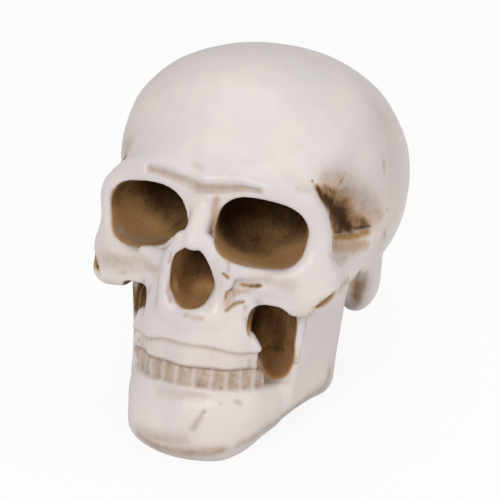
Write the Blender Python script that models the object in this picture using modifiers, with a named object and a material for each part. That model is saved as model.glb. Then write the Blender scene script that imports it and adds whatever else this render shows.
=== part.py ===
"""A ceramic skull for a fire pit: two refractory castings, their cement beds and a steel armature.

Lengths are in metres and angles in degrees. +Z is up, the face looks along -Y, and the skull's own
left is +X. The castings are shaped upright in the skull's own frame, with its origin between the ears,
then leaned back and set down on the floor at z = 0. Tables whose names end in shares hold places and
radii as shares of half the braincase: across, front to back, and up.
"""

import math

import bmesh
import bpy
from mathutils import Euler, Matrix, Vector

# Braincase and pose
HEAD_WIDTH = 0.165
HEAD_LENGTH = 0.190
HEAD_HEIGHT = 0.152
SIT_HEIGHT = 0.085
LEAN = 17.0
CASTING_WALL = 0.012

# Face
BROW_THICKNESS = 0.0140
NOSE_BRIDGE_THICKNESS = 0.0120
NOSE_EDGE_THICKNESS = 0.0110
SOCKET_RIM_THICKNESS = 0.0130
CHEEK_THICKNESS = 0.0170
ARCH_THICKNESS = 0.0185
SOCKET_WIDTH = 0.048
SOCKET_HEIGHT = 0.0385
SOCKET_DEPTH = 0.042
NOSE_WIDTH = 0.025
NOSE_DEPTH = 0.028
CHEEK_HOLLOW_WIDTH = 0.028
CHEEK_HOLLOW_HEIGHT = 0.046
CHEEK_HOLLOW_DEPTH = 0.064
TEMPLE_DEPTH = 0.038

# Jaw and neck
TOOTH_BAND_WIDTH = 0.076
TOOTH_BAND_LENGTH = 0.086
GUM_STEP = 0.0016
JAW_THICKNESS = 0.024
RAMUS_THICKNESS = 0.0165
JAW_SPACE_WIDTH = 0.054
JAW_SPACE_LENGTH = 0.080
NECK_WIDTH = 0.060
NECK_LENGTH = 0.064
EAR_NOTCH_WIDTH = 0.012

# Joints between the castings, and the armature
CEMENT_BED = 0.0016
CLEARANCE = 0.0003
DOWEL_DIAMETER = 0.006
DOWEL_LENGTH = 0.024
ROD_DIAMETER = 0.005
RING_HEIGHT = 0.014
DAB_SIZE = 0.020
CEMENT_INSET = 0.003

# Shares of half the braincase: its centre, the neck, the teeth, and where the jaw is parted from the cranium
BRAINCASE_SHARES = (0, -0.04, 0.395)
NECK_SHARE = 0.45
BITE_SHARE = -0.79
FLANK_SHARE = 0.43
JAW_TOP_SHARE = -0.335
JAW_FRONT_SHARE = -0.60
JAW_REAR_SHARE = 0.06
GUM_SHARE = -0.64
LEDGE_SHARE = -0.96
TOOTH_BAND_SHARES = (0, -0.65, 0)

# Angles round the inside of the braincase, up from its back, in degrees
CROWN_HOOP_END = 146
DAB_ANGLES = (("rear_dab", 12), ("crown_dab", 88), ("brow_dab", 132))

# Mesh fineness, and how far a cutter runs past what it cuts
FORM_GRID = 0.0026
FORM_TRIANGLES_SHARE = 0.08
SMOOTH_PASSES = 9
LUMP_SEGMENTS = 40
CUTTER_SEGMENTS = 28
NARROW_SEGMENTS = 16
HOLLOW_SEGMENTS = 44
ROD_POINTS = 28
WELD_SHARE = 0.1
OVERRUN = 0.100

HALF = Vector((HEAD_WIDTH / 2, HEAD_LENGTH / 2, HEAD_HEIGHT / 2))
POSE = Matrix.Translation((0, 0, SIT_HEIGHT)) @ Matrix.Rotation(-math.radians(LEAN), 4, "X")
BED_GAP = CEMENT_BED + 2 * CLEARANCE
BRAINCASE_CENTRE = Vector((0, BRAINCASE_SHARES[1] * HALF.y, BRAINCASE_SHARES[2] * HALF.z))
NECK_CENTRE = Vector((0, NECK_SHARE * HALF.y, 0))
NECK_BORE = Vector((NECK_WIDTH / 2 - CASTING_WALL, NECK_LENGTH / 2 - CASTING_WALL))
HOLLOW = HALF - Vector((CASTING_WALL, CASTING_WALL, CASTING_WALL))
JAW_BITE = BITE_SHARE * HALF.z
JAW_FLANK = FLANK_SHARE * HALF.x
JAW_TOP = JAW_TOP_SHARE * HALF.z
JAW_FRONT = JAW_FRONT_SHARE * HALF.y
JAW_REAR = JAW_REAR_SHARE * HALF.y
FAR = OVERRUN + HEAD_LENGTH


def clear_scene():
    """Empty the file of objects."""
    for old in list(bpy.data.objects):
        bpy.data.objects.remove(old)


def new_collection(name):
    """A collection linked to the scene."""
    made = bpy.data.collections.new(name)
    bpy.context.scene.collection.children.link(made)
    return made


def at(shares, side=1):
    """The point of the skull's frame that lies at these shares, mirrored for side -1."""
    return Vector((side * shares[0] * HALF.x, shares[1] * HALF.y, shares[2] * HALF.z))


def reach(shares):
    """Radii from shares."""
    return Vector((shares[0] * HALF.x, shares[1] * HALF.y, shares[2] * HALF.z))


def frame_at(centre, turn=(0, 0, 0), side=1):
    """The world matrix of a place in the skull's frame, turned by degrees about X, then Y, then Z."""
    angles = Euler((math.radians(turn[0]), side * math.radians(turn[1]), side * math.radians(turn[2])))
    return POSE @ Matrix.Translation(centre) @ angles.to_matrix().to_4x4()


def add_lump(form, centre, radii, turn=(0, 0, 0), side=1, squareness=2.0, segments=LUMP_SEGMENTS):
    """An ellipsoid, swelled towards its box where squareness is over 2."""
    ball = bmesh.ops.create_uvsphere(form, u_segments=segments, v_segments=segments // 2, radius=1.0)
    for vertex in ball["verts"]:
        vertex.co = Vector(math.copysign(abs(c) ** (2.0 / squareness), c) for c in vertex.co)
    bmesh.ops.transform(
        form,
        matrix=frame_at(centre, turn, side) @ Matrix.Diagonal((*radii, 1.0)),
        verts=ball["verts"],
    )


def add_roll(form, points, radii):
    """A roll of clay along the points, as thick at each as its radius, with round ends."""
    curve = bpy.data.curves.new("roll", "CURVE")
    curve.dimensions = "3D"
    curve.bevel_depth = 1.0
    curve.bevel_resolution = 3
    curve.resolution_u = 5
    curve.use_fill_caps = True
    spline = curve.splines.new("BEZIER")
    spline.bezier_points.add(len(points) - 1)
    for knot, point, radius in zip(spline.bezier_points, points, radii):
        knot.co = POSE @ point
        knot.radius = radius
        knot.handle_left_type = "AUTO"
        knot.handle_right_type = "AUTO"
    roll = bpy.data.objects.new("roll", curve)
    bpy.context.scene.collection.objects.link(roll)
    bpy.context.view_layer.update()
    mesh = bpy.data.meshes.new_from_object(roll.evaluated_get(bpy.context.evaluated_depsgraph_get()))
    form.from_mesh(mesh)
    bpy.data.objects.remove(roll)
    for point, radius in ((points[0], radii[0]), (points[-1], radii[-1])):
        add_lump(form, point, (radius, radius, radius), segments=NARROW_SEGMENTS)


def add_roll_pair(form, point_shares, thickness, radius_shares):
    """The same roll on the left and on the right."""
    for side in (-1, 1):
        points = [at(share, side) for share in point_shares]
        add_roll(form, points, [thickness / 2 * share for share in radius_shares])


def add_drum(form, centre, radius_x, radius_y, bottom, top, segments=LUMP_SEGMENTS):
    """An upright oval drum in the skull's frame, from bottom to top."""
    drum = bmesh.ops.create_cone(
        form, cap_ends=True, segments=segments, radius1=1.0, radius2=1.0, depth=1.0)
    middle = Vector((centre.x, centre.y, (bottom + top) / 2))
    bmesh.ops.transform(
        form,
        matrix=frame_at(middle) @ Matrix.Diagonal((radius_x, radius_y, top - bottom, 1.0)),
        verts=drum["verts"],
    )


def add_block(form, low, high, posed=True):
    """A box between two corners, in the skull's frame or upright in the world."""
    block = bmesh.ops.create_cube(form, size=1.0)
    matrix = Matrix.Translation((low + high) / 2) @ Matrix.Diagonal((*(high - low), 1.0))
    bmesh.ops.transform(form, matrix=(POSE @ matrix) if posed else matrix, verts=block["verts"])


def finish_mesh(form, name):
    """Turn the working form into a mesh with its faces pointing out."""
    bmesh.ops.recalc_face_normals(form, faces=form.faces)
    mesh = bpy.data.meshes.new(name)
    form.to_mesh(mesh)
    form.free()
    return mesh


def new_object(name, data, collection, stand):
    """An object on the stand."""
    made = bpy.data.objects.new(name, data)
    made.parent = stand
    collection.objects.link(made)
    return made


def new_cutter(name, form, cutters, stand):
    """A cutter from a working form."""
    cutter = new_object(name, finish_mesh(form, name), cutters, stand)
    cutter.display_type = "WIRE"
    cutter.hide_render = True
    return cutter


def cut(piece, cutter, operation="DIFFERENCE"):
    """Cut a piece by a cutter, or keep only what they share."""
    modifier = piece.modifiers.new(cutter.name, "BOOLEAN")
    modifier.operation = operation
    modifier.object = cutter


def applied_mesh(source, name):
    """The mesh of an object with its modifiers applied."""
    bpy.context.view_layer.update()
    graph = bpy.context.evaluated_depsgraph_get()
    mesh = bpy.data.meshes.new_from_object(source.evaluated_get(graph))
    mesh.name = name
    return mesh


def make_material(name, colour, roughness, metallic):
    """A plain Principled material."""
    made = bpy.data.materials.new(name)
    made.use_nodes = True
    surface = made.node_tree.nodes["Principled BSDF"]
    surface.inputs["Base Color"].default_value = (*colour, 1.0)
    surface.inputs["Roughness"].default_value = roughness
    surface.inputs["Metallic"].default_value = metallic
    return made


# Form of the outside

def add_braincase(form):
    """The round of the braincase, the bony lumps behind the ears and the neck under them."""
    add_lump(form, BRAINCASE_CENTRE, HALF, segments=2 * LUMP_SEGMENTS)
    ear_lump_shares = (0.65, 0.25, -0.27)
    ear_radius_shares = (0.17, 0.17, 0.32)
    for side in (-1, 1):
        add_lump(form, at(ear_lump_shares, side), reach(ear_radius_shares), (-8, 0, 0), side)
    nape_shares = (0, 0.45, -0.20)
    nape_radius_shares = (0.50, 0.42, 0.54)
    add_lump(form, at(nape_shares), reach(nape_radius_shares))
    add_drum(form, NECK_CENTRE, NECK_WIDTH / 2, NECK_LENGTH / 2, -SIT_HEIGHT - OVERRUN / 2, 0)


def add_brow_and_nose(form):
    """The brow with its ridge, the bridge of the nose and the bony edge of the nose opening."""
    forehead_shares = (0, -0.71, 0.46)
    forehead_radius_shares = (0.68, 0.31, 0.28)
    add_lump(form, at(forehead_shares), reach(forehead_radius_shares), squareness=2.3)
    brow_shares = [(0.05, -0.99, 0.50), (0.22, -1.00, 0.53), (0.39, -0.98, 0.54),
                   (0.55, -0.93, 0.49), (0.66, -0.86, 0.39), (0.705, -0.815, 0.22), (0.70, -0.79, 0.05)]
    add_roll_pair(form, brow_shares, BROW_THICKNESS, (1.0, 0.95, 0.95, 1.0, 1.02, 1.02, 1.05))
    bridge_shares = [(0, -0.97, 0.48), (0, -1.01, 0.35), (0, -1.08, 0.21), (0, -1.14, 0.12)]
    add_roll(form, [at(share) for share in bridge_shares],
             [NOSE_BRIDGE_THICKNESS / 2 * share for share in (1.5, 1.05, 1.0, 0.9)])
    edge_shares = [(0.08, -1.10, 0.11), (0.17, -1.05, -0.08), (0.21, -1.02, -0.24), (0.17, -1.03, -0.37)]
    add_roll_pair(form, edge_shares, NOSE_EDGE_THICKNESS, (0.95, 1.0, 1.05, 1.15))
    sill_shares = [(0, -1.05, -0.45), (0.17, -1.03, -0.43)]
    add_roll_pair(form, sill_shares, NOSE_EDGE_THICKNESS, (1.3, 1.15))


def add_midface(form):
    """The block of the face, the lower rims of the eye sockets, the cheekbones and their arches."""
    face_shares = (0, -0.61, -0.05)
    face_radius_shares = (0.57, 0.39, 0.52)
    add_lump(form, at(face_shares), reach(face_radius_shares), squareness=2.6)
    palate_shares = (0, -0.69, -0.51)
    palate_radius_shares = (0.44, 0.40, 0.41)
    add_lump(form, at(palate_shares), reach(palate_radius_shares), squareness=2.8)
    rim_shares = [(0.16, -1.02, 0.11), (0.27, -0.97, -0.09), (0.44, -0.91, -0.16),
                  (0.60, -0.86, -0.13), (0.71, -0.81, 0.03), (0.73, -0.79, 0.24)]
    add_roll_pair(form, rim_shares, SOCKET_RIM_THICKNESS, (0.8, 0.9, 0.95, 1.0, 1.1, 1.0))
    cheekbone_shares = (0.655, -0.765, -0.14)
    cheekbone_radius_shares = (0.195, 0.127, 0.22)
    for side in (-1, 1):
        add_lump(form, at(cheekbone_shares, side), reach(cheekbone_radius_shares), (0, 25, 0), side,
                 squareness=2.3)
    cheek_shares = [(0.39, -0.87, -0.24), (0.56, -0.82, -0.29), (0.72, -0.69, -0.26)]
    add_roll_pair(form, cheek_shares, CHEEK_THICKNESS, (0.6, 0.82, 1.0))
    arch_shares = [(0.73, -0.67, -0.22), (0.74, -0.48, -0.18), (0.70, -0.29, -0.145),
                   (0.68, -0.11, -0.13), (0.68, 0.06, -0.11)]
    add_roll_pair(form, arch_shares, ARCH_THICKNESS, (1.0, 0.95, 0.95, 1.0, 1.1))


def add_mouth_and_jaw(form):
    """The band that carries the teeth, the chin, the body of the jaw and its upright plates."""
    band_end_shares = (-0.99, -0.40)
    add_drum(form, at(TOOTH_BAND_SHARES), TOOTH_BAND_WIDTH / 2, TOOTH_BAND_LENGTH / 2,
             band_end_shares[0] * HALF.z, band_end_shares[1] * HALF.z)
    chin_shares = (0, -0.81, -1.20)
    chin_radius_shares = (0.436, 0.285, 0.395)
    add_lump(form, at(chin_shares), reach(chin_radius_shares), squareness=2.3)
    body_shares = [(0.01, -0.93, -1.09), (0.24, -0.88, -1.09), (0.38, -0.72, -1.09),
                   (0.45, -0.51, -1.07), (0.52, -0.25, -1.02), (0.51, -0.06, -1.04)]
    add_roll_pair(form, body_shares, JAW_THICKNESS, (1.15, 1.1, 1.0, 0.9, 0.85, 0.9))
    border_shares = [(0.19, -0.84, -1.34), (0.33, -0.57, -1.22), (0.51, -0.08, -1.09)]
    add_roll_pair(form, border_shares, JAW_THICKNESS, (1.0, 0.75, 0.68))
    plate_shares = (0.53, -0.27, -0.70)
    plate_radius_shares = (0, 0.32, 0.49)
    for side in (-1, 1):
        plate_radii = Vector((RAMUS_THICKNESS / 2, 0, 0)) + reach(plate_radius_shares)
        add_lump(form, at(plate_shares, side), plate_radii, (0, 4, -9), side, squareness=5.0)
    core_shares = (0, -0.48, -0.66)
    core_radius_shares = (0.44, 0.48, 0.45)
    add_lump(form, at(core_shares), reach(core_radius_shares), squareness=3.0)


def make_outer_mesh(cutters, stand):
    """Join the lumps and rolls into one smooth skin, as a modeller would on a clay master."""
    form = bmesh.new()
    add_braincase(form)
    add_brow_and_nose(form)
    add_midface(form)
    add_mouth_and_jaw(form)
    master = new_cutter("clay_master", form, cutters, stand)
    skin = master.modifiers.new("skin", "REMESH")
    skin.mode = "VOXEL"
    skin.voxel_size = FORM_GRID
    smooth = master.modifiers.new("smooth", "SMOOTH")
    smooth.factor = 0.5
    smooth.iterations = SMOOTH_PASSES
    fewer = master.modifiers.new("fewer", "DECIMATE")
    fewer.ratio = FORM_TRIANGLES_SHARE
    return applied_mesh(master, "skull_outside")


# Pockets in the outside

def make_pockets(cutters, stand):
    """The cutters of the eye sockets, nose, temples, cheek hollows, ear notches and tooth recess."""
    socket_shares = (0.366, -0.905, 0.208)
    temple_shares = (0.87, -0.59, 0.26)
    temple_radius_shares = (0, 0.16, 0.28)
    temple_back_shares = (0.97, -0.45, 0.24)
    temple_back_radius_shares = (0, 0.25, 0.26)
    hollow_shares = (0.425, -0.67, -0.60)
    notch_top_shares = (0.78, 0.11, -0.25)
    notch_foot_shares = (0.65, 0.14, -0.59)
    notch_top_width_share = 0.7
    nose_shares = (0, -1.07, -0.16)
    nose_radius_shares = (0, 0, 0.245)
    pockets = []
    for side, hand in ((-1, "right"), (1, "left")):
        form = bmesh.new()
        add_lump(form, at(socket_shares, side), (SOCKET_WIDTH / 2, SOCKET_DEPTH, SOCKET_HEIGHT / 2),
                 (4, 9, 14), side, squareness=2.6, segments=CUTTER_SEGMENTS)
        pockets.append(new_cutter(hand + "_eye_socket", form, cutters, stand))
        for name, place, radius_shares in (("_temple", temple_shares, temple_radius_shares),
                                           ("_temple_back", temple_back_shares, temple_back_radius_shares)):
            form = bmesh.new()
            temple_radii = Vector((TEMPLE_DEPTH / 2, 0, 0)) + reach(radius_shares)
            add_lump(form, at(place, side), temple_radii, (0, 0, -8), side, segments=CUTTER_SEGMENTS)
            pockets.append(new_cutter(hand + name, form, cutters, stand))
        form = bmesh.new()
        add_lump(form, at(hollow_shares, side),
                 (CHEEK_HOLLOW_WIDTH / 2, CHEEK_HOLLOW_DEPTH / 2, CHEEK_HOLLOW_HEIGHT / 2),
                 (0, 0, 20), side, squareness=2.3, segments=CUTTER_SEGMENTS)
        pockets.append(new_cutter(hand + "_cheek_hollow", form, cutters, stand))
        form = bmesh.new()
        add_drum_between(form, at(notch_top_shares, side), at(notch_foot_shares, side),
                         EAR_NOTCH_WIDTH / 2 * notch_top_width_share, EAR_NOTCH_WIDTH / 2)
        pockets.append(new_cutter(hand + "_ear_notch", form, cutters, stand))
    form = bmesh.new()
    nose_radii = Vector((NOSE_WIDTH / 2, NOSE_DEPTH, 0)) + reach(nose_radius_shares)
    add_lump(form, at(nose_shares), nose_radii, segments=CUTTER_SEGMENTS)
    pockets.append(new_cutter("nose_opening", form, cutters, stand))
    pockets.append(make_tooth_recess(cutters, stand))
    return pockets


def make_tooth_recess(cutters, stand):
    """A cutter that sets both rows of teeth back from the gum above them and the ledge below."""
    band = at(TOOTH_BAND_SHARES)
    low = LEDGE_SHARE * HALF.z
    high = GUM_SHARE * HALF.z
    recess = block_cutter("tooth_recess", (-FAR, -FAR, low), (FAR, band.y, high), cutters, stand)
    form = bmesh.new()
    add_drum(form, band, TOOTH_BAND_WIDTH / 2 - GUM_STEP, TOOTH_BAND_LENGTH / 2 - GUM_STEP,
             low - OVERRUN, high + OVERRUN)
    cut(recess, new_cutter("teeth", form, cutters, stand))
    return recess


def add_drum_between(form, start, end, start_radius, end_radius):
    """A tapered drum from one point of the skull's frame to another."""
    axis = end - start
    drum = bmesh.ops.create_cone(
        form, cap_ends=True, segments=NARROW_SEGMENTS,
        radius1=start_radius, radius2=end_radius, depth=axis.length)
    matrix = POSE @ Matrix.Translation((start + end) / 2) @ axis.to_track_quat("Z", "Y").to_matrix().to_4x4()
    bmesh.ops.transform(form, matrix=matrix, verts=drum["verts"])


# Castings

def block_cutter(name, low, high, cutters, stand, posed=True):
    """A box cutter between two corners."""
    form = bmesh.new()
    add_block(form, Vector(low), Vector(high), posed)
    return new_cutter(name, form, cutters, stand)


def make_hollow(cutters, stand):
    """The cutters of the hollow braincase and of the bore that opens it through the neck."""
    form = bmesh.new()
    add_lump(form, BRAINCASE_CENTRE, HOLLOW, segments=HOLLOW_SEGMENTS)
    hollow = new_cutter("braincase_hollow", form, cutters, stand)
    face_back_share = -0.19
    face_top_share = 0.74
    bore_top_share = 0.17
    cut(hollow, block_cutter("solid_face", (-FAR, -FAR, -FAR),
                             (FAR, face_back_share * HALF.y, face_top_share * HALF.z), cutters, stand))
    form = bmesh.new()
    add_drum(form, NECK_CENTRE, NECK_BORE.x, NECK_BORE.y, -SIT_HEIGHT - OVERRUN, bore_top_share * HALF.z,
             segments=CUTTER_SEGMENTS)
    return [hollow, new_cutter("neck_bore", form, cutters, stand)]


def make_castings(outside, pockets, hollows, floor, parts, cutters, stand):
    """Part the cut skin into the cranium and the lower jaw, with a cement bed's gap between them."""
    half_gap = BED_GAP / 2
    cranium = new_object("cranium", outside, parts, stand)
    jaw = new_object("lower_jaw", outside.copy(), parts, stand)
    for piece in (cranium, jaw):
        for pocket in pockets:
            cut(piece, pocket)
        # The first cut also mends the skin wherever it crosses itself
        piece.modifiers[0].use_self = True
    cut(cranium, block_cutter(
        "below_bite", (-FAR, -FAR, -FAR), (FAR, JAW_REAR + half_gap, JAW_BITE + half_gap), cutters, stand))
    for side, hand in ((-1, "right"), (1, "left")):
        flank = sorted((side * (JAW_FLANK - half_gap), side * FAR))
        cut(cranium, block_cutter(
            hand + "_plate_room", (flank[0], JAW_FRONT - half_gap, -FAR),
            (flank[1], JAW_REAR + half_gap, JAW_TOP + half_gap), cutters, stand))
    for hollow in hollows:
        cut(cranium, hollow)
    inner = JAW_FLANK + half_gap
    cut(jaw, block_cutter(
        "above_bite", (-inner, -FAR, JAW_BITE - half_gap), (inner, FAR, FAR), cutters, stand))
    cut(jaw, block_cutter(
        "before_plates", (-FAR, -FAR, JAW_BITE - half_gap), (FAR, JAW_FRONT + half_gap, FAR), cutters, stand))
    cut(jaw, block_cutter("above_plates", (-FAR, -FAR, JAW_TOP - half_gap), (FAR, FAR, FAR), cutters, stand))
    cut(jaw, block_cutter("behind_jaw", (-FAR, JAW_REAR - half_gap, -FAR), (FAR, FAR, FAR), cutters, stand))
    space_shares = (0, -0.36, -1.48)
    space_radius_shares = (0, 0, 0.50)
    space_radii = Vector((JAW_SPACE_WIDTH / 2, JAW_SPACE_LENGTH / 2, 0)) + reach(space_radius_shares)
    form = bmesh.new()
    add_lump(form, at(space_shares), space_radii, squareness=3.0, segments=CUTTER_SEGMENTS)
    cut(jaw, new_cutter("jaw_space", form, cutters, stand))
    for piece in (cranium, jaw):
        cut(piece, floor)
    return cranium, jaw


# Cement beds and dowels between the castings

def make_beds(pockets, parts, stand):
    """The bed between the rows of teeth, and one on each flank where the jaw's plates are set."""
    bed_near_shares = (0, -0.28, -0.64)
    bed_far_shares = (0, -0.05, -0.37)
    half_bed = Vector((CEMENT_BED / 2, 0, 0))
    form = bmesh.new()
    add_drum(form, at(TOOTH_BAND_SHARES), TOOTH_BAND_WIDTH / 2 - CEMENT_INSET,
             TOOTH_BAND_LENGTH / 2 - CEMENT_INSET, JAW_BITE - CEMENT_BED / 2, JAW_BITE + CEMENT_BED / 2)
    bite = new_object("bite_cement", finish_mesh(form, "bite_cement"), parts, stand)
    beds = [bite]
    for side, hand in ((-1, "right"), (1, "left")):
        form = bmesh.new()
        flank = Vector((side * JAW_FLANK, 0, 0))
        add_block(form, flank - half_bed + at(bed_near_shares), flank + half_bed + at(bed_far_shares))
        name = hand + "_flank_cement"
        beds.append(new_object(name, finish_mesh(form, name), parts, stand))
    for bed in beds:
        for pocket in pockets:
            if "cheek_hollow" in pocket.name:
                cut(bed, pocket)
    return beds


def add_pin(form, centre, axis, diameter, length):
    """A round pin about its centre."""
    half = axis * length / 2
    add_drum_between(form, centre - half, centre + half, diameter / 2, diameter / 2)


def make_dowels(cranium, jaw, beds, parts, cutters, stand):
    """Steel dowels across the beds, each in a blind hole in both castings."""
    up = Vector((0, 0, 1))
    across = Vector((1, 0, 0))
    tooth_shares = (0.24, -0.86, 0)
    flank_shares = (0, -0.16, -0.50)
    for side, hand in ((-1, "right"), (1, "left")):
        tooth = at(tooth_shares, side) + up * JAW_BITE
        flank = at(flank_shares) + across * side * JAW_FLANK
        for name, centre, axis in ((hand + "_tooth_dowel", tooth, up), (hand + "_flank_dowel", flank, across)):
            form = bmesh.new()
            add_pin(form, centre, axis, DOWEL_DIAMETER, DOWEL_LENGTH)
            new_object(name, finish_mesh(form, name), parts, stand)
            form = bmesh.new()
            add_pin(form, centre, axis, DOWEL_DIAMETER + 2 * CLEARANCE, DOWEL_LENGTH + 2 * CLEARANCE)
            hole = new_cutter(name + "_hole", form, cutters, stand)
            for piece in (cranium, jaw, *beds):
                cut(piece, hole)


# Steel armature inside the hollow

def rod_curve(name, points, diameter, closed=False):
    """A round rod through points of the skull's frame."""
    curve = bpy.data.curves.new(name, "CURVE")
    curve.dimensions = "3D"
    curve.bevel_depth = diameter / 2
    curve.bevel_resolution = 2
    curve.use_fill_caps = True
    spline = curve.splines.new("POLY")
    spline.use_cyclic_u = closed
    spline.points.add(len(points) - 1)
    for knot, point in zip(spline.points, points):
        knot.co = (*(POSE @ point), 1.0)
    return curve


def oval(centre, axis_a, axis_b, start, stop, count):
    """Points along an oval from one angle to another, in degrees."""
    step = (stop - start) / (count - 1)
    angles = [math.radians(start + step * i) for i in range(count)]
    return [centre + axis_a * math.cos(angle) + axis_b * math.sin(angle) for angle in angles]


def add_rod(name, points, parts, cutters, stand, closed=False):
    """A rod as a part, and a sleeve about it that cuts its seat in the cement."""
    new_object(name, rod_curve(name, points, ROD_DIAMETER, closed), parts, stand)
    sleeve = new_object(name + "_sleeve", rod_curve(name, points, ROD_DIAMETER + 2 * CLEARANCE, closed),
                        cutters, stand)
    mesh = applied_mesh(sleeve, name + "_sleeve")
    bpy.data.objects.remove(sleeve)
    form = bmesh.new()
    form.from_mesh(mesh)
    bmesh.ops.remove_doubles(form, verts=form.verts, dist=CLEARANCE * WELD_SHARE)
    return new_cutter(name + "_seat", form, cutters, stand)


def make_armature(parts, cutters, stand):
    """A ring in the neck's bore, a hoop from side to side on it, and a hoop over it to the brow."""
    inset = CLEARANCE + ROD_DIAMETER / 2
    ring_radii = Vector((NECK_BORE.x - inset, NECK_BORE.y - inset))
    back_foot = NECK_CENTRE.y + NECK_LENGTH / 2
    floor_there = (back_foot * math.sin(math.radians(LEAN)) - SIT_HEIGHT) / math.cos(math.radians(LEAN))
    ring_centre = Vector((0, NECK_CENTRE.y, floor_there + RING_HEIGHT))
    across = Vector((1, 0, 0))
    back = Vector((0, 1, 0))
    up = Vector((0, 0, 1))
    ring_points = oval(ring_centre, across * ring_radii.x, back * ring_radii.y, 0, 360, ROD_POINTS + 1)[:-1]
    add_rod("base_ring", ring_points, parts, cutters, stand, closed=True)
    foot_height = ring_centre.z + ROD_DIAMETER / 2 + CLEARANCE

    crown_y = HOLLOW.y - inset
    crown_z = HOLLOW.z - inset
    leg_y = NECK_CENTRE.y + ring_radii.y
    lift_off = -math.degrees(math.acos((leg_y - BRAINCASE_CENTRE.y) / crown_y))
    crown_points = [Vector((0, leg_y, foot_height))]
    crown_points += oval(BRAINCASE_CENTRE, back * crown_y, up * crown_z, lift_off, CROWN_HOOP_END, ROD_POINTS)
    crown_seat = add_rod("crown_hoop", crown_points, parts, cutters, stand)

    side_centre = Vector((0, NECK_CENTRE.y, BRAINCASE_CENTRE.z))
    back_share = (NECK_CENTRE.y - BRAINCASE_CENTRE.y) / crown_y
    narrowing = math.sqrt(1 - back_share ** 2)
    crown_slope = crown_z / crown_y * back_share / narrowing
    under = (ROD_DIAMETER + 2 * CLEARANCE) * math.sqrt(1 + crown_slope ** 2)
    side_x = (HOLLOW.x - inset) * narrowing - under
    side_z = crown_z * narrowing - under
    spread = math.degrees(math.acos(ring_radii.x / side_x))
    loop = oval(side_centre, across * side_x, up * side_z, -spread, 180 + spread, ROD_POINTS)
    side_points = [Vector((loop[0].x, side_centre.y, foot_height)), *loop,
                   Vector((loop[-1].x, side_centre.y, foot_height))]
    side_seat = add_rod("side_hoop", side_points, parts, cutters, stand)

    form = bmesh.new()
    add_lump(form, BRAINCASE_CENTRE, HOLLOW - Vector((CLEARANCE, CLEARANCE, CLEARANCE)), segments=HOLLOW_SEGMENTS)
    wall_face = new_cutter("wall_face", form, cutters, stand)
    places = [(name, oval(BRAINCASE_CENTRE, back * crown_y, up * crown_z, angle, angle + 1, 2)[0])
              for name, angle in DAB_ANGLES]
    places += [(name, side_centre + across * side * side_x) for name, side in (("left_dab", 1), ("right_dab", -1))]
    for name, centre in places:
        form = bmesh.new()
        add_lump(form, centre, (DAB_SIZE / 2, DAB_SIZE / 2, DAB_SIZE / 2), segments=NARROW_SEGMENTS)
        dab = new_object(name, finish_mesh(form, name), parts, stand)
        cut(dab, wall_face, "INTERSECT")
        cut(dab, crown_seat)
        cut(dab, side_seat)


def dress(pieces):
    """Give each piece its own material, and shade the round ones smooth."""
    looks = {
        "ceramic": ((0.74, 0.68, 0.65), 0.45, 0.0),
        "cement": ((0.45, 0.36, 0.27), 0.9, 0.0),
        "steel": ((0.42, 0.41, 0.40), 0.5, 1.0),
    }
    for piece in pieces:
        if piece.name in ("cranium", "lower_jaw"):
            look = "ceramic"
        elif piece.name.endswith(("cement", "dab")):
            look = "cement"
        else:
            look = "steel"
        piece.data.materials.clear()
        piece.data.materials.append(make_material(piece.name + "_" + look, *looks[look]))
        if piece.type == "MESH":
            piece.data.shade_smooth()


def centre_on_origin(pieces, stand):
    """Shift the stand so that the middle of the skull's length is over the origin."""
    reach_y = []
    for piece in pieces:
        mesh = applied_mesh(piece, "measured")
        reach_y += [(piece.matrix_world @ vertex.co).y for vertex in mesh.vertices]
        bpy.data.meshes.remove(mesh)
    stand.location.y -= (min(reach_y) + max(reach_y)) / 2


def main():
    clear_scene()
    parts = new_collection("ceramic_fire_pit_skull")
    cutters = new_collection("skull_cutters")
    stand = bpy.data.objects.new("stand", None)
    parts.objects.link(stand)
    outside = make_outer_mesh(cutters, stand)
    pockets = make_pockets(cutters, stand)
    hollows = make_hollow(cutters, stand)
    floor = block_cutter("floor", (-FAR, -FAR, -FAR), (FAR, FAR, 0), cutters, stand, posed=False)
    cranium, jaw = make_castings(outside, pockets, hollows, floor, parts, cutters, stand)
    beds = make_beds(pockets, parts, stand)
    make_dowels(cranium, jaw, beds, parts, cutters, stand)
    make_armature(parts, cutters, stand)
    dress([piece for piece in parts.objects if piece.type != "EMPTY"])
    centre_on_origin([piece for piece in parts.objects if piece.type != "EMPTY"], stand)


main()
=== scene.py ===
import math
from collections import namedtuple

import bpy
import numpy as np
from mathutils import Matrix, Vector


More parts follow.
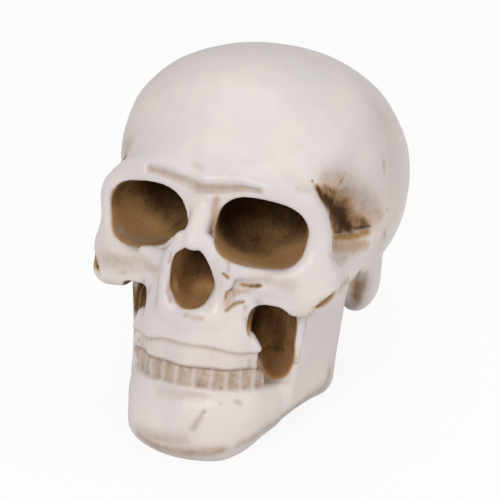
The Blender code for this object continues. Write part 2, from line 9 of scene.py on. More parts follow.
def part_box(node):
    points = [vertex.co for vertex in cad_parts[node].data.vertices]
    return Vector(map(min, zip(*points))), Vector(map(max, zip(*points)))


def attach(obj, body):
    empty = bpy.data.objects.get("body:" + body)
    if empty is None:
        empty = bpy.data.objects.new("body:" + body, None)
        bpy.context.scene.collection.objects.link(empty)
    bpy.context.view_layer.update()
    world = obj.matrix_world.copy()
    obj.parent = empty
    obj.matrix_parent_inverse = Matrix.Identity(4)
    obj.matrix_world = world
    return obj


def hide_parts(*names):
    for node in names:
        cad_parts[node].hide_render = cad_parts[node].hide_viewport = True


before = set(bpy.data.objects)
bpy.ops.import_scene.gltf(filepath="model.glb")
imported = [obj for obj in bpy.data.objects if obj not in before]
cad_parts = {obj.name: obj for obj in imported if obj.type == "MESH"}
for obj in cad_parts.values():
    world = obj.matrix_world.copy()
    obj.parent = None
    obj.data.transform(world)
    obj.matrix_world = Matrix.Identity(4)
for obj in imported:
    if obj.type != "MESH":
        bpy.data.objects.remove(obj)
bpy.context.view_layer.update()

# Clay master
# A modeller builds the skull from lumps and rolls of clay, smooths them into one skin and hollows it with
# tools. Both castings are moulded from it, so it is worked out once, in millimetres, upright in the
# skull's own frame: x to the skull's left, y to its back, z up, from a point between the ears.

CLAY_STEP = 1.15
CLAY_LOW = (-96.0, -128.0, -128.0)
CLAY_HIGH = (96.0, 104.0, 116.0)
LEAN = math.radians(17.0)
EAR_HEIGHT = 85.0
DOWEL_IN_CLAY = (35.475, -15.2, -38.0)
MM = 0.001


def lean_back(points):
    """Points of the clay leaned back about x: y = y cos a + z sin a, and z = z cos a - y sin a."""
    x, y, z = np.moveaxis(np.asarray(points, float), -1, 0)
    back = y * math.cos(LEAN) + z * math.sin(LEAN)
    return np.stack([x, back, z * math.cos(LEAN) - y * math.sin(LEAN)], -1)


dowel_low, dowel_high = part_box("left_flank_dowel")
STAND_SHIFT = (dowel_low.y + dowel_high.y) / 2 / MM - lean_back(DOWEL_IN_CLAY)[1]


def set_down(points):
    """Points of the clay in the row frame: leaned back, lifted to the ears' height and made metres."""
    return (lean_back(points) + [0.0, STAND_SHIFT, EAR_HEIGHT]) * MM


def turned(turn):
    """The matrix that turns by degrees about x, then y, then z."""
    about_x, about_y, about_z = (Matrix.Rotation(math.radians(a), 3, axis) for a, axis in zip(turn, "XYZ"))
    return np.array(about_z @ about_y @ about_x)


def lump(centre, radii, turn=(0, 0, 0), squareness=2.0):
    """An ellipsoid, swelled towards its box: p = (|x/a|^n + |y/b|^n + |z/c|^n)^(1/n), and the distance is
    p - 1 over the slope of p."""
    radii = np.array(radii, np.float32)
    to_lump = turned(turn).T.astype(np.float32)
    reach = max(radii) * (1.0 if squareness <= 2 else 1.25)

    def distance(place):
        offset = [a - b for a, b in zip(place, centre)]
        own = [sum(to_lump[i, j] * offset[j] for j in range(3)) for i in range(3)]
        shares = [np.abs(a / r) for a, r in zip(own, radii)]
        p = sum(s ** squareness for s in shares) ** (1 / squareness) + 1e-6
        slope = np.sqrt(sum((s ** (squareness - 1) / r) ** 2 for s, r in zip(shares, radii)))
        return (p - 1) * p ** (squareness - 1) / (slope + 1e-6)

    return np.array(centre) - reach, np.array(centre) + reach, distance


def smooth_path(rows, spacing=5.0):
    """Rows resampled along a Catmull-Rom spline:
    (2b + (c - a) t + (2a - 5b + 4c - d) t^2 + (3b - a - 3c + d) t^3) / 2 between b and c."""
    rows = np.array(rows, float)
    if len(rows) < 3:
        return rows
    ends = np.vstack([2 * rows[0] - rows[1], rows, 2 * rows[-1] - rows[-2]])
    path = [rows[:1]]
    for a, b, c, d in zip(ends, ends[1:], ends[2:], ends[3:]):
        count = max(1, round(np.linalg.norm((c - b)[:3]) / spacing))
        t = (np.arange(1, count + 1) / count)[:, None]
        path.append((2 * b + (c - a) * t + (2 * a - 5 * b + 4 * c - d) * t ** 2
                     + (3 * b - a - 3 * c + d) * t ** 3) / 2)
    return np.vstack(path)


def roll(*rows):
    """A roll of clay through rows of x, y, z and radius: the distance to the nearest point of each straight
    piece, less the radius there."""
    rows = smooth_path(rows)
    thickest = rows[:, 3].max()

    def distance(place):
        nearest = None
        for start, stop in zip(rows, rows[1:]):
            along = (stop - start).astype(np.float32)
            offset = [a - b for a, b in zip(place, start[:3])]
            t = sum(a * b for a, b in zip(offset, along[:3])) / float(along[:3] @ along[:3])
            t = np.clip(t, 0, 1)
            away = np.sqrt(sum((a - t * b) ** 2 for a, b in zip(offset, along[:3])))
            away -= start[3] + t * along[3]
            nearest = away if nearest is None else np.minimum(nearest, away)
        return nearest

    return rows[:, :3].min(0) - thickest, rows[:, :3].max(0) + thickest, distance


def nearness(rows, place):
    """exp(-q^2), where q is the least distance from a path of x, y, z and width, over the width there."""
    rows = smooth_path(rows)
    least = None
    for start, stop in zip(rows, rows[1:] if len(rows) > 1 else rows):
        along = (stop - start).astype(np.float32)
        offset = [a - b for a, b in zip(place, start[:3])]
        t = sum(a * b for a, b in zip(offset, along[:3])) / float(along[:3] @ along[:3] + 1e-9)
        t = np.clip(t, 0, 1)
        away = sum((a - t * b) ** 2 for a, b in zip(offset, along[:3])) / (start[3] + t * along[3]) ** 2
        least = away if least is None else np.minimum(least, away)
    return np.exp(-least)


def melt(a, b, width):
    """The lesser of two distances, rounded where they are within width: less (1 - |a - b| / width)^3
    width / 6."""
    near = np.maximum(width - np.abs(a - b), 0) / width
    return np.minimum(a, b) - near ** 3 * width / 6


WALL_CORNER = 4.0


def wall(rows, foot, edge):
    """An upright wall along rows of x, y, half thickness and top: in plan the distance to its path less the
    half thickness, and with its height a box with rounded edges."""
    rows = np.array(rows, float)
    thickest = rows[:, 2].max()

    def distance(place):
        nearest = None
        for start, stop in zip(rows, rows[1:]):
            along = stop - start
            x, y = place[0] - start[0], place[1] - start[1]
            t = np.clip((x * along[0] + y * along[1]) / (along[:2] @ along[:2]), 0, 1)
            top = start[3] + t * along[3]
            side = np.hypot(x - t * along[0], y - t * along[1]) - start[2] - t * along[2] + edge
            end = np.abs(place[2] - (foot + top) / 2) - (top - foot) / 2 + edge
            away = (np.minimum(np.maximum(side, end), 0)
                    + np.hypot(np.maximum(side, 0), np.maximum(end, 0)) - edge)
            nearest = away if nearest is None else melt(nearest, away, WALL_CORNER)
        return nearest

    low = (*(rows[:, :2].min(0) - thickest), foot)
    high = (*(rows[:, :2].max(0) + thickest), rows[:, 3].max())
    return np.array(low), np.array(high), distance


def slab(centre, half, edge, turn=(0, 0, 0)):
    """A box with rounded edges: the length of what lies beyond the box drawn in by the edge's radius, less
    that radius."""
    to_slab = turned(turn).T
    reach = np.abs(to_slab.T) @ np.array(half)

    def distance(place):
        offset = [a - b for a, b in zip(place, centre)]
        own = [sum(to_slab[i, j] * offset[j] for j in range(3)) for i in range(3)]
        past = [np.abs(a) - h + edge for a, h in zip(own, half)]
        outside = np.sqrt(sum(np.maximum(p, 0) ** 2 for p in past))
        return outside + np.minimum(np.maximum(np.maximum(past[0], past[1]), past[2]), 0) - edge

    return np.array(centre) - reach, np.array(centre) + reach, distance


def drum(centre, radii, ends):
    """An upright oval drum: p = hypot(x/a, y/b), and the distance is p - 1 over the slope of p, or the
    distance past its ends where that is greater."""
    low = np.array([centre[0] - radii[0], centre[1] - radii[1], ends[0]])
    high = np.array([centre[0] + radii[0], centre[1] + radii[1], ends[1]])

    def distance(place):
        x, y = place[0] - centre[0], place[1] - centre[1]
        p = np.hypot(x / radii[0], y / radii[1]) + 1e-6
        side = (p - 1) * p / (np.hypot(x / radii[0] ** 2, y / radii[1] ** 2) + 1e-6)
        return np.maximum(side, np.abs(place[2] - sum(ends) / 2) - (ends[1] - ends[0]) / 2)

    return low, high, distance


FAR_AWAY = 60.0
MARGIN_STEPS = 3
CLEAN_DEPTH = 2.0
SOFT_REACH = 2.4


class Clay:
    """Distances to the clay's skin on a grid, less than zero inside, and to the pockets that are stained,
    and how much film of painted shade lies on the rows of teeth.
    Until mirror() only the skull's left half is kept, because the right half is its mirror image."""

    def __init__(self):
        self.x = (np.arange(math.ceil(CLAY_HIGH[0] / CLAY_STEP)) + 0.5) * CLAY_STEP
        self.y = np.arange(CLAY_LOW[1], CLAY_HIGH[1], CLAY_STEP)
        self.z = np.arange(CLAY_LOW[2], CLAY_HIGH[2], CLAY_STEP)
        self.skin = np.full((len(self.x), len(self.y), len(self.z)), FAR_AWAY, np.float32)
        self.pocket = self.skin.copy()
        self.shade = np.zeros_like(self.skin)

    def window(self, low, high):
        """The slices of the grid between two corners, and the coordinates there."""
        slices = []
        for axis, start, stop in zip((self.x, self.y, self.z), low, high):
            first = max(0, np.searchsorted(axis, start) - 1)
            slices.append(slice(first, min(len(axis), np.searchsorted(axis, stop) + 1)))
        place = (self.x[slices[0]][:, None, None], self.y[slices[1]][None, :, None],
                 self.z[slices[2]][None, None, :])
        return tuple(slices), [np.float32(p) for p in place]

    def each_side(self, shape, blend, pair):
        """The window and the distance of a shape, and of its mirror image where it is one of a pair."""
        low, high, distance = shape
        margin = blend + MARGIN_STEPS * CLAY_STEP
        for side in (1, -1) if pair else (1,):
            start, stop = (low, high) if side > 0 else (high * [-1, 1, 1], low * [-1, 1, 1])
            start, stop = np.minimum(start, stop) - margin, np.maximum(start, stop) + margin
            if stop[0] <= self.x[0]:
                continue
            slices, (x, y, z) = self.window(start, stop)
            yield slices, distance((side * x, y, z))

    def press_on(self, shape, blend, pair=True):
        """Add clay, smoothed in over the blend's width. It is clean down to CLEAN_DEPTH."""
        for slices, distance in self.each_side(shape, blend, pair):
            self.skin[slices] = melt(self.skin[slices], distance, blend)
            self.pocket[slices] = np.maximum(self.pocket[slices], CLEAN_DEPTH - distance)

    def carve(self, shape, blend, pair=True, stained=True):
        """Take clay away, with the edge smoothed over the blend's width."""
        for slices, distance in self.each_side(shape, blend, pair):
            self.skin[slices] = -melt(-self.skin[slices], distance, blend)
            if stained:
                self.pocket[slices] = np.minimum(self.pocket[slices], distance)

    def sink(self, centre, radii, depth):
        """Press the skin in softly: by depth times exp(-r^2), with r measured in the radii."""
        reach = SOFT_REACH * np.array(radii)
        slices, place = self.window(np.array(centre) - reach, np.array(centre) + reach)
        r_squared = sum(((a - b) / r) ** 2 for a, b, r in zip(place, centre, radii))
        self.skin[slices] += depth * np.exp(-r_squared)

    def mirror(self):
        """Make the right half from the left, so that what comes after may lie on one side only."""
        self.x = np.concatenate([-self.x[::-1], self.x])
        self.skin = np.concatenate([self.skin[::-1], self.skin])
        self.pocket = np.concatenate([self.pocket[::-1], self.pocket])
        self.shade = np.concatenate([self.shade[::-1], self.shade])

    def draw(self, rows, depth):
        """Draw a tool along a path: the skin sinks by depth times its nearness, or rises where that is less
        than zero."""
        reach = SOFT_REACH * rows[:, 3].max()
        slices, place = self.window(rows[:, :3].min(0) - reach, rows[:, :3].max(0) + reach)
        self.skin[slices] += depth * nearness(rows, place)


def build_up(clay):
    """Lumps and rolls of the braincase, neck, brow, nose, cheekbones, tooth band and jaw."""
    # Braincase, neck and the clay between them
    clay.press_on(lump((0, -3, 31), (82.0, 94.5, 73.6), (-5, 0, 0), 2.14), 10, False)
    clay.press_on(drum((0, 42.75), (30, 32), (-124, 0)), 10, False)
    clay.press_on(lump((0, 43, -15), (40, 38, 40)), 14, False)
    # Forehead, brow and the root and back of the nose
    clay.press_on(lump((0, -68, 34), (56, 29, 20), squareness=2.3), 14, False)
    clay.press_on(roll((3, -93, 37, 7), (18, -94.5, 40, 6.5), (32, -93, 40.5, 6.5), (45, -88, 37, 7),
                       (54, -82, 29, 7.2), (58, -77.5, 17, 7.2), (57.5, -75, 4, 7.5)), 12)
    clay.press_on(roll((0, -92, 36, 9), (0, -96, 26, 6), (0, -103, 16, 5.5), (0, -109, 9, 5)), 7, False)
    # Face between the sockets and the teeth, and the rim of the nose
    clay.press_on(lump((0, -58, -4), (46, 36, 38), squareness=2.6), 12, False)
    clay.press_on(lump((0, -66, -38), (36, 37, 30), squareness=2.8), 10, False)
    clay.press_on(roll((6.5, -106, 8, 4.5), (13.5, -102, -4, 4.5), (16.5, -99, -16, 5),
                       (14, -99, -28, 6)), 5)
    clay.press_on(roll((0, -101, -34, 7), (14, -99, -32, 6)), 6)
    # Lower rims of the sockets, cheekbones, arches and the lumps behind the ears
    clay.press_on(roll((13, -97, 8, 5), (21, -92.5, -6, 5.5), (34, -87.5, -11.5, 6), (47, -82.5, -9, 6.5),
                       (56, -77, 0, 7)), 10)
    clay.press_on(lump((54, -72.5, -10.5), (16, 12, 17), (0, 25, 0), 2.3), 12)
    clay.press_on(roll((30, -84, -18, 5), (44, -79, -22.5, 6.5), (57, -67, -20.5, 8), (61, -52, -16, 8)), 9)
    clay.press_on(roll((60, -62, -15, 8.5), (60.5, -46, -13, 8), (58.5, -28, -10.5, 8), (57, -10, -9.5, 9),
                       (56, 6, -8, 10)), 9)
    clay.press_on(roll((59, -66, -7, 6.5), (60.5, -48, -5, 5.5), (58, -28, -3, 6)), 7)
    clay.press_on(lump((54.5, 27, -22), (13, 16, 24), (-8, 0, 0)), 7)
    # Tooth band, chin, borders and upright plates of the jaw, and the clay inside them
    clay.press_on(wall([(0, -92, 13, -30), (16, -88, 12, -32), (28, -78, 9, -34), (34, -62, 7, -36),
                        (36, -44, 7, -38)], -74, 7), 6)
    clay.press_on(lump((0, -77, -91), (37, 27, 27), squareness=2.25), 10, False)
    clay.press_on(roll((0, -88, -82, 14), (20, -84, -82, 13.5), (31, -68, -82, 12), (37, -48, -80, 11),
                       (43, -24, -76, 10), (42, -6, -78, 11)), 10)
    clay.press_on(roll((14, -80, -101, 11.5), (30, -61, -92, 9), (36, -42, -87.5, 8.5), (41, -22, -84, 8),
                       (43, -6, -82, 8.5)), 9)
    clay.press_on(slab((45, -28.5, -52), (7.5, 34, 35), 6.0, (0, 4, -5)), 6)
    clay.press_on(lump((0, -46, -50), (36, 46, 34), squareness=3), 6, False)
    # Flat of the braincase's side
    clay.sink((78, -32, 48), (22, 26, 26), 2.2)


def hollow_out(clay):
    """The eye sockets, nose, temples, cheek hollows, notches before the ears, and the underside."""
    # Eye sockets, and the lip under the far one
    clay.carve(lump((30.0, -86, 15.8), (24.4, 42, 19.2), (4, 9, 14), 2.6), 1.6, False)
    clay.carve(lump((-32.2, -86, 15.6), (25.2, 42, 19.0), (4, -11, -14), 2.6), 1.6, False)
    clay.press_on(roll((-33, -91, -5, 3.2), (-26, -91, -4, 3.2), (-20, -93, -1.5, 3.2), (-14, -97, 4.5, 3)),
                  3.0, False)
    # Nose opening, left, right and deep
    clay.carve(roll((0, -116, 5.0, 2.6), (2.6, -111, -7, 5.6), (3.4, -108, -21, 6.6)), 1.2, False)
    clay.carve(roll((-1, -116, 4.5, 3.0), (-6.0, -109.5, -8, 5.6), (-7.2, -107, -20, 6.4)), 1.2, False)
    clay.carve(roll((-2, -107, 2, 3.5), (-7.5, -100, -6, 5.5), (-8, -98, -18, 6)), 1.5, False)
    clay.carve(lump((-1.2, -96, -12), (11.2, 24, 17.0), squareness=2.6), 1.5, False)
    # Temples, from the brow down to the back of the cheekbone
    clay.carve(lump((101, -66, 50), (34, 44, 46)), 18, stained=False)
    clay.carve(lump((72, -56, 20), (19, 15, 21), (0, 0, -8)), 7, stained=False)
    clay.carve(lump((80, -43, 18), (20, 24, 20), (0, 0, -8)), 12, stained=False)
    # Cheek hollows, and the cuts between the arch and the jaw's plates
    clay.carve(lump((34, -63, -42), (12.8, 32, 20), (0, 0, 20), 2.3), 2)
    clay.carve(lump((37.5, -83, -34), (10.8, 15, 10.2), (0, 0, 8), 2.7), 2)
    clay.carve(lump((37, -60, -56), (9, 26, 14), (0, 0, 20)), 2.5)
    clay.carve(roll((53.5, -58, -29.5, 1.8), (57, -50, -26.5, 2.8), (58.5, -43, -24, 2.2)), 2)
    clay.carve(roll((60, -40, -23, 1.2), (60.5, -30, -20, 1.3), (62.5, -20, -16.5, 1.0)), 2)
    # Notches before the ears, and the open underside
    clay.carve(roll((62, 10, -20, 4), (54, 13, -44, 6), (48, 14, -80, 8)), 4, stained=False)
    clay.carve(lump((0, -34, -112), (27, 42, 38), squareness=3), 6, False)
    # Clay put back at the ends of the tooth band
    clay.press_on(roll((-31.5, -85, -41, 4.5), (-34, -80, -50, 6), (-34.5, -76, -62, 7)), 8, False)
    clay.press_on(roll((28.5, -87, -43, 3.5), (31.5, -85, -50, 4.5), (30, -83, -57, 4)), 4, False)


def shift_by_hand(clay):
    """Press and build up places by hand: first the crown and the back, then where the head isn't the same
    on both sides."""
    clay.sink((0, -37, 99), (52, 38, 40), 1.9)
    clay.sink((0, 88, 46), (40, 30, 40), 1.2)
    clay.sink((-61, -68, 47), (14, 16, 14), 3.0)
    clay.sink((-67, -81, -5), (10, 14, 14), 2.0)
    clay.sink((-61.5, -85, 25), (7, 9, 8), -1.8)
    clay.sink((-52, -48, -66), (14, 36, 26), 1.8)
    clay.sink((-28, -93, -103), (12, 14, 10), -2.6)
    clay.sink((39, -67, -95), (9, 12, 8), -2.2)
    clay.sink((29.5, -84.5, -108), (9, 9, 9), 1.6)
    clay.sink((61, 27, -33), (10, 10, 10), -2.0)


def ramp(value, start, stop):
    """0 at start, 1 at stop, and t^2 (3 - 2t) between."""
    t = np.clip((value - start) / (stop - start), 0, 1)
    return t * t * (3 - 2 * t)


def ridge(value, width):
    """1 at zero, falling as exp(-(value / width)^2)."""
    return np.exp(-(value / width) ** 2)


GUM_HEIGHT = -47.6
GUM_FALL = 0.11
GUM_WAVE = 0.6
GUM_WAVES = 9
GUM_CUT = 1.0
GUM_LINE = 1.3
GUM_SLOPE = 0.8
BITE_HEIGHT = -60.04
BITE_GROOVE = -60.3
BITE_CUT = 1.2
BITE_LINE = 1.1
LOWER_GUM = (-72.4, -70.4)
UPPER_SETBACK = 1.3
LOWER_SETBACK = 2.6
TOOTH_ROW_CENTRE = -62
TOOTH_ROW_BACK = (-58, -66)
TOOTH_EDGES = (-68, -56, -44, -32, -20, -7, 7, 20, 32, 44, 56, 68)
TOOTH_LINE = 0.9
MM_PER_DEGREE = 0.65
UPPER_LINE_CUT = 0.25
LOWER_LINE_RISE = 1.1


def tool_teeth(clay):
    """Set the rows of teeth back below the gum, cut the gum's line and the bite, and tool the lines between
    the teeth, which are cut in the upper row and stand out in the lower one. Painted shade is laid in the
    gum's line and the bite and over the set-back lower row, less on its standing lines."""
    slices, (x, y, z) = clay.window((-60, -125, -84), (60, -44, -38))
    front = ramp(y, *TOOTH_ROW_BACK)
    angle = np.degrees(np.arctan2(x, TOOTH_ROW_CENTRE - y))
    gum = GUM_HEIGHT - GUM_FALL * np.abs(x) - GUM_WAVE * np.cos(np.radians(angle * GUM_WAVES))
    upper = ramp(z, gum + GUM_SLOPE, gum - GUM_SLOPE) * ramp(z, -61.5, -60)
    lower = ramp(z, -60, -61.2) * ramp(z, *LOWER_GUM)
    gum_line = ridge(z - gum, GUM_LINE)
    bite_line = ridge(z - BITE_GROOVE, BITE_LINE)
    lines = sum(ridge((angle - edge) * MM_PER_DEGREE, TOOTH_LINE) for edge in TOOTH_EDGES)
    depth = UPPER_SETBACK * upper + GUM_CUT * gum_line + LOWER_SETBACK * lower + BITE_CUT * bite_line
    depth = depth + lines * (UPPER_LINE_CUT * upper - LOWER_LINE_RISE * lower)
    clay.skin[slices] += front * depth
    # painted shade in the gum's line and the bite and over the set-back lower row, less on its lines
    clay.shade[slices] = front * np.maximum(np.maximum(0.72 * gum_line, 0.9 * bite_line),
                                            lower * (1.0 - 0.6 * lines) + 0.12 * upper)


# The photo's camera, fitted to the skull: where it stands round the point between the ears, in millimetres
# and degrees, and the pixel of the photo on which that point falls
LENS_DISTANCE = 1254.0
CAMERA_TURN = math.radians(19.5)
CAMERA_HEIGHT = math.radians(27.5)
PIXELS_PER_MM = 1.754
PHOTO_SIDE = 500.0
AIM_PIXEL = (258.0, 225.0)

look = Vector((-math.sin(CAMERA_TURN) * math.cos(CAMERA_HEIGHT),
               math.cos(CAMERA_TURN) * math.cos(CAMERA_HEIGHT), -math.sin(CAMERA_HEIGHT)))
Mark = namedtuple("Mark", "name path cut film wash dark pair depth",
                  defaults=(0.0, 0.0, 0.0, 0.0, False, None))
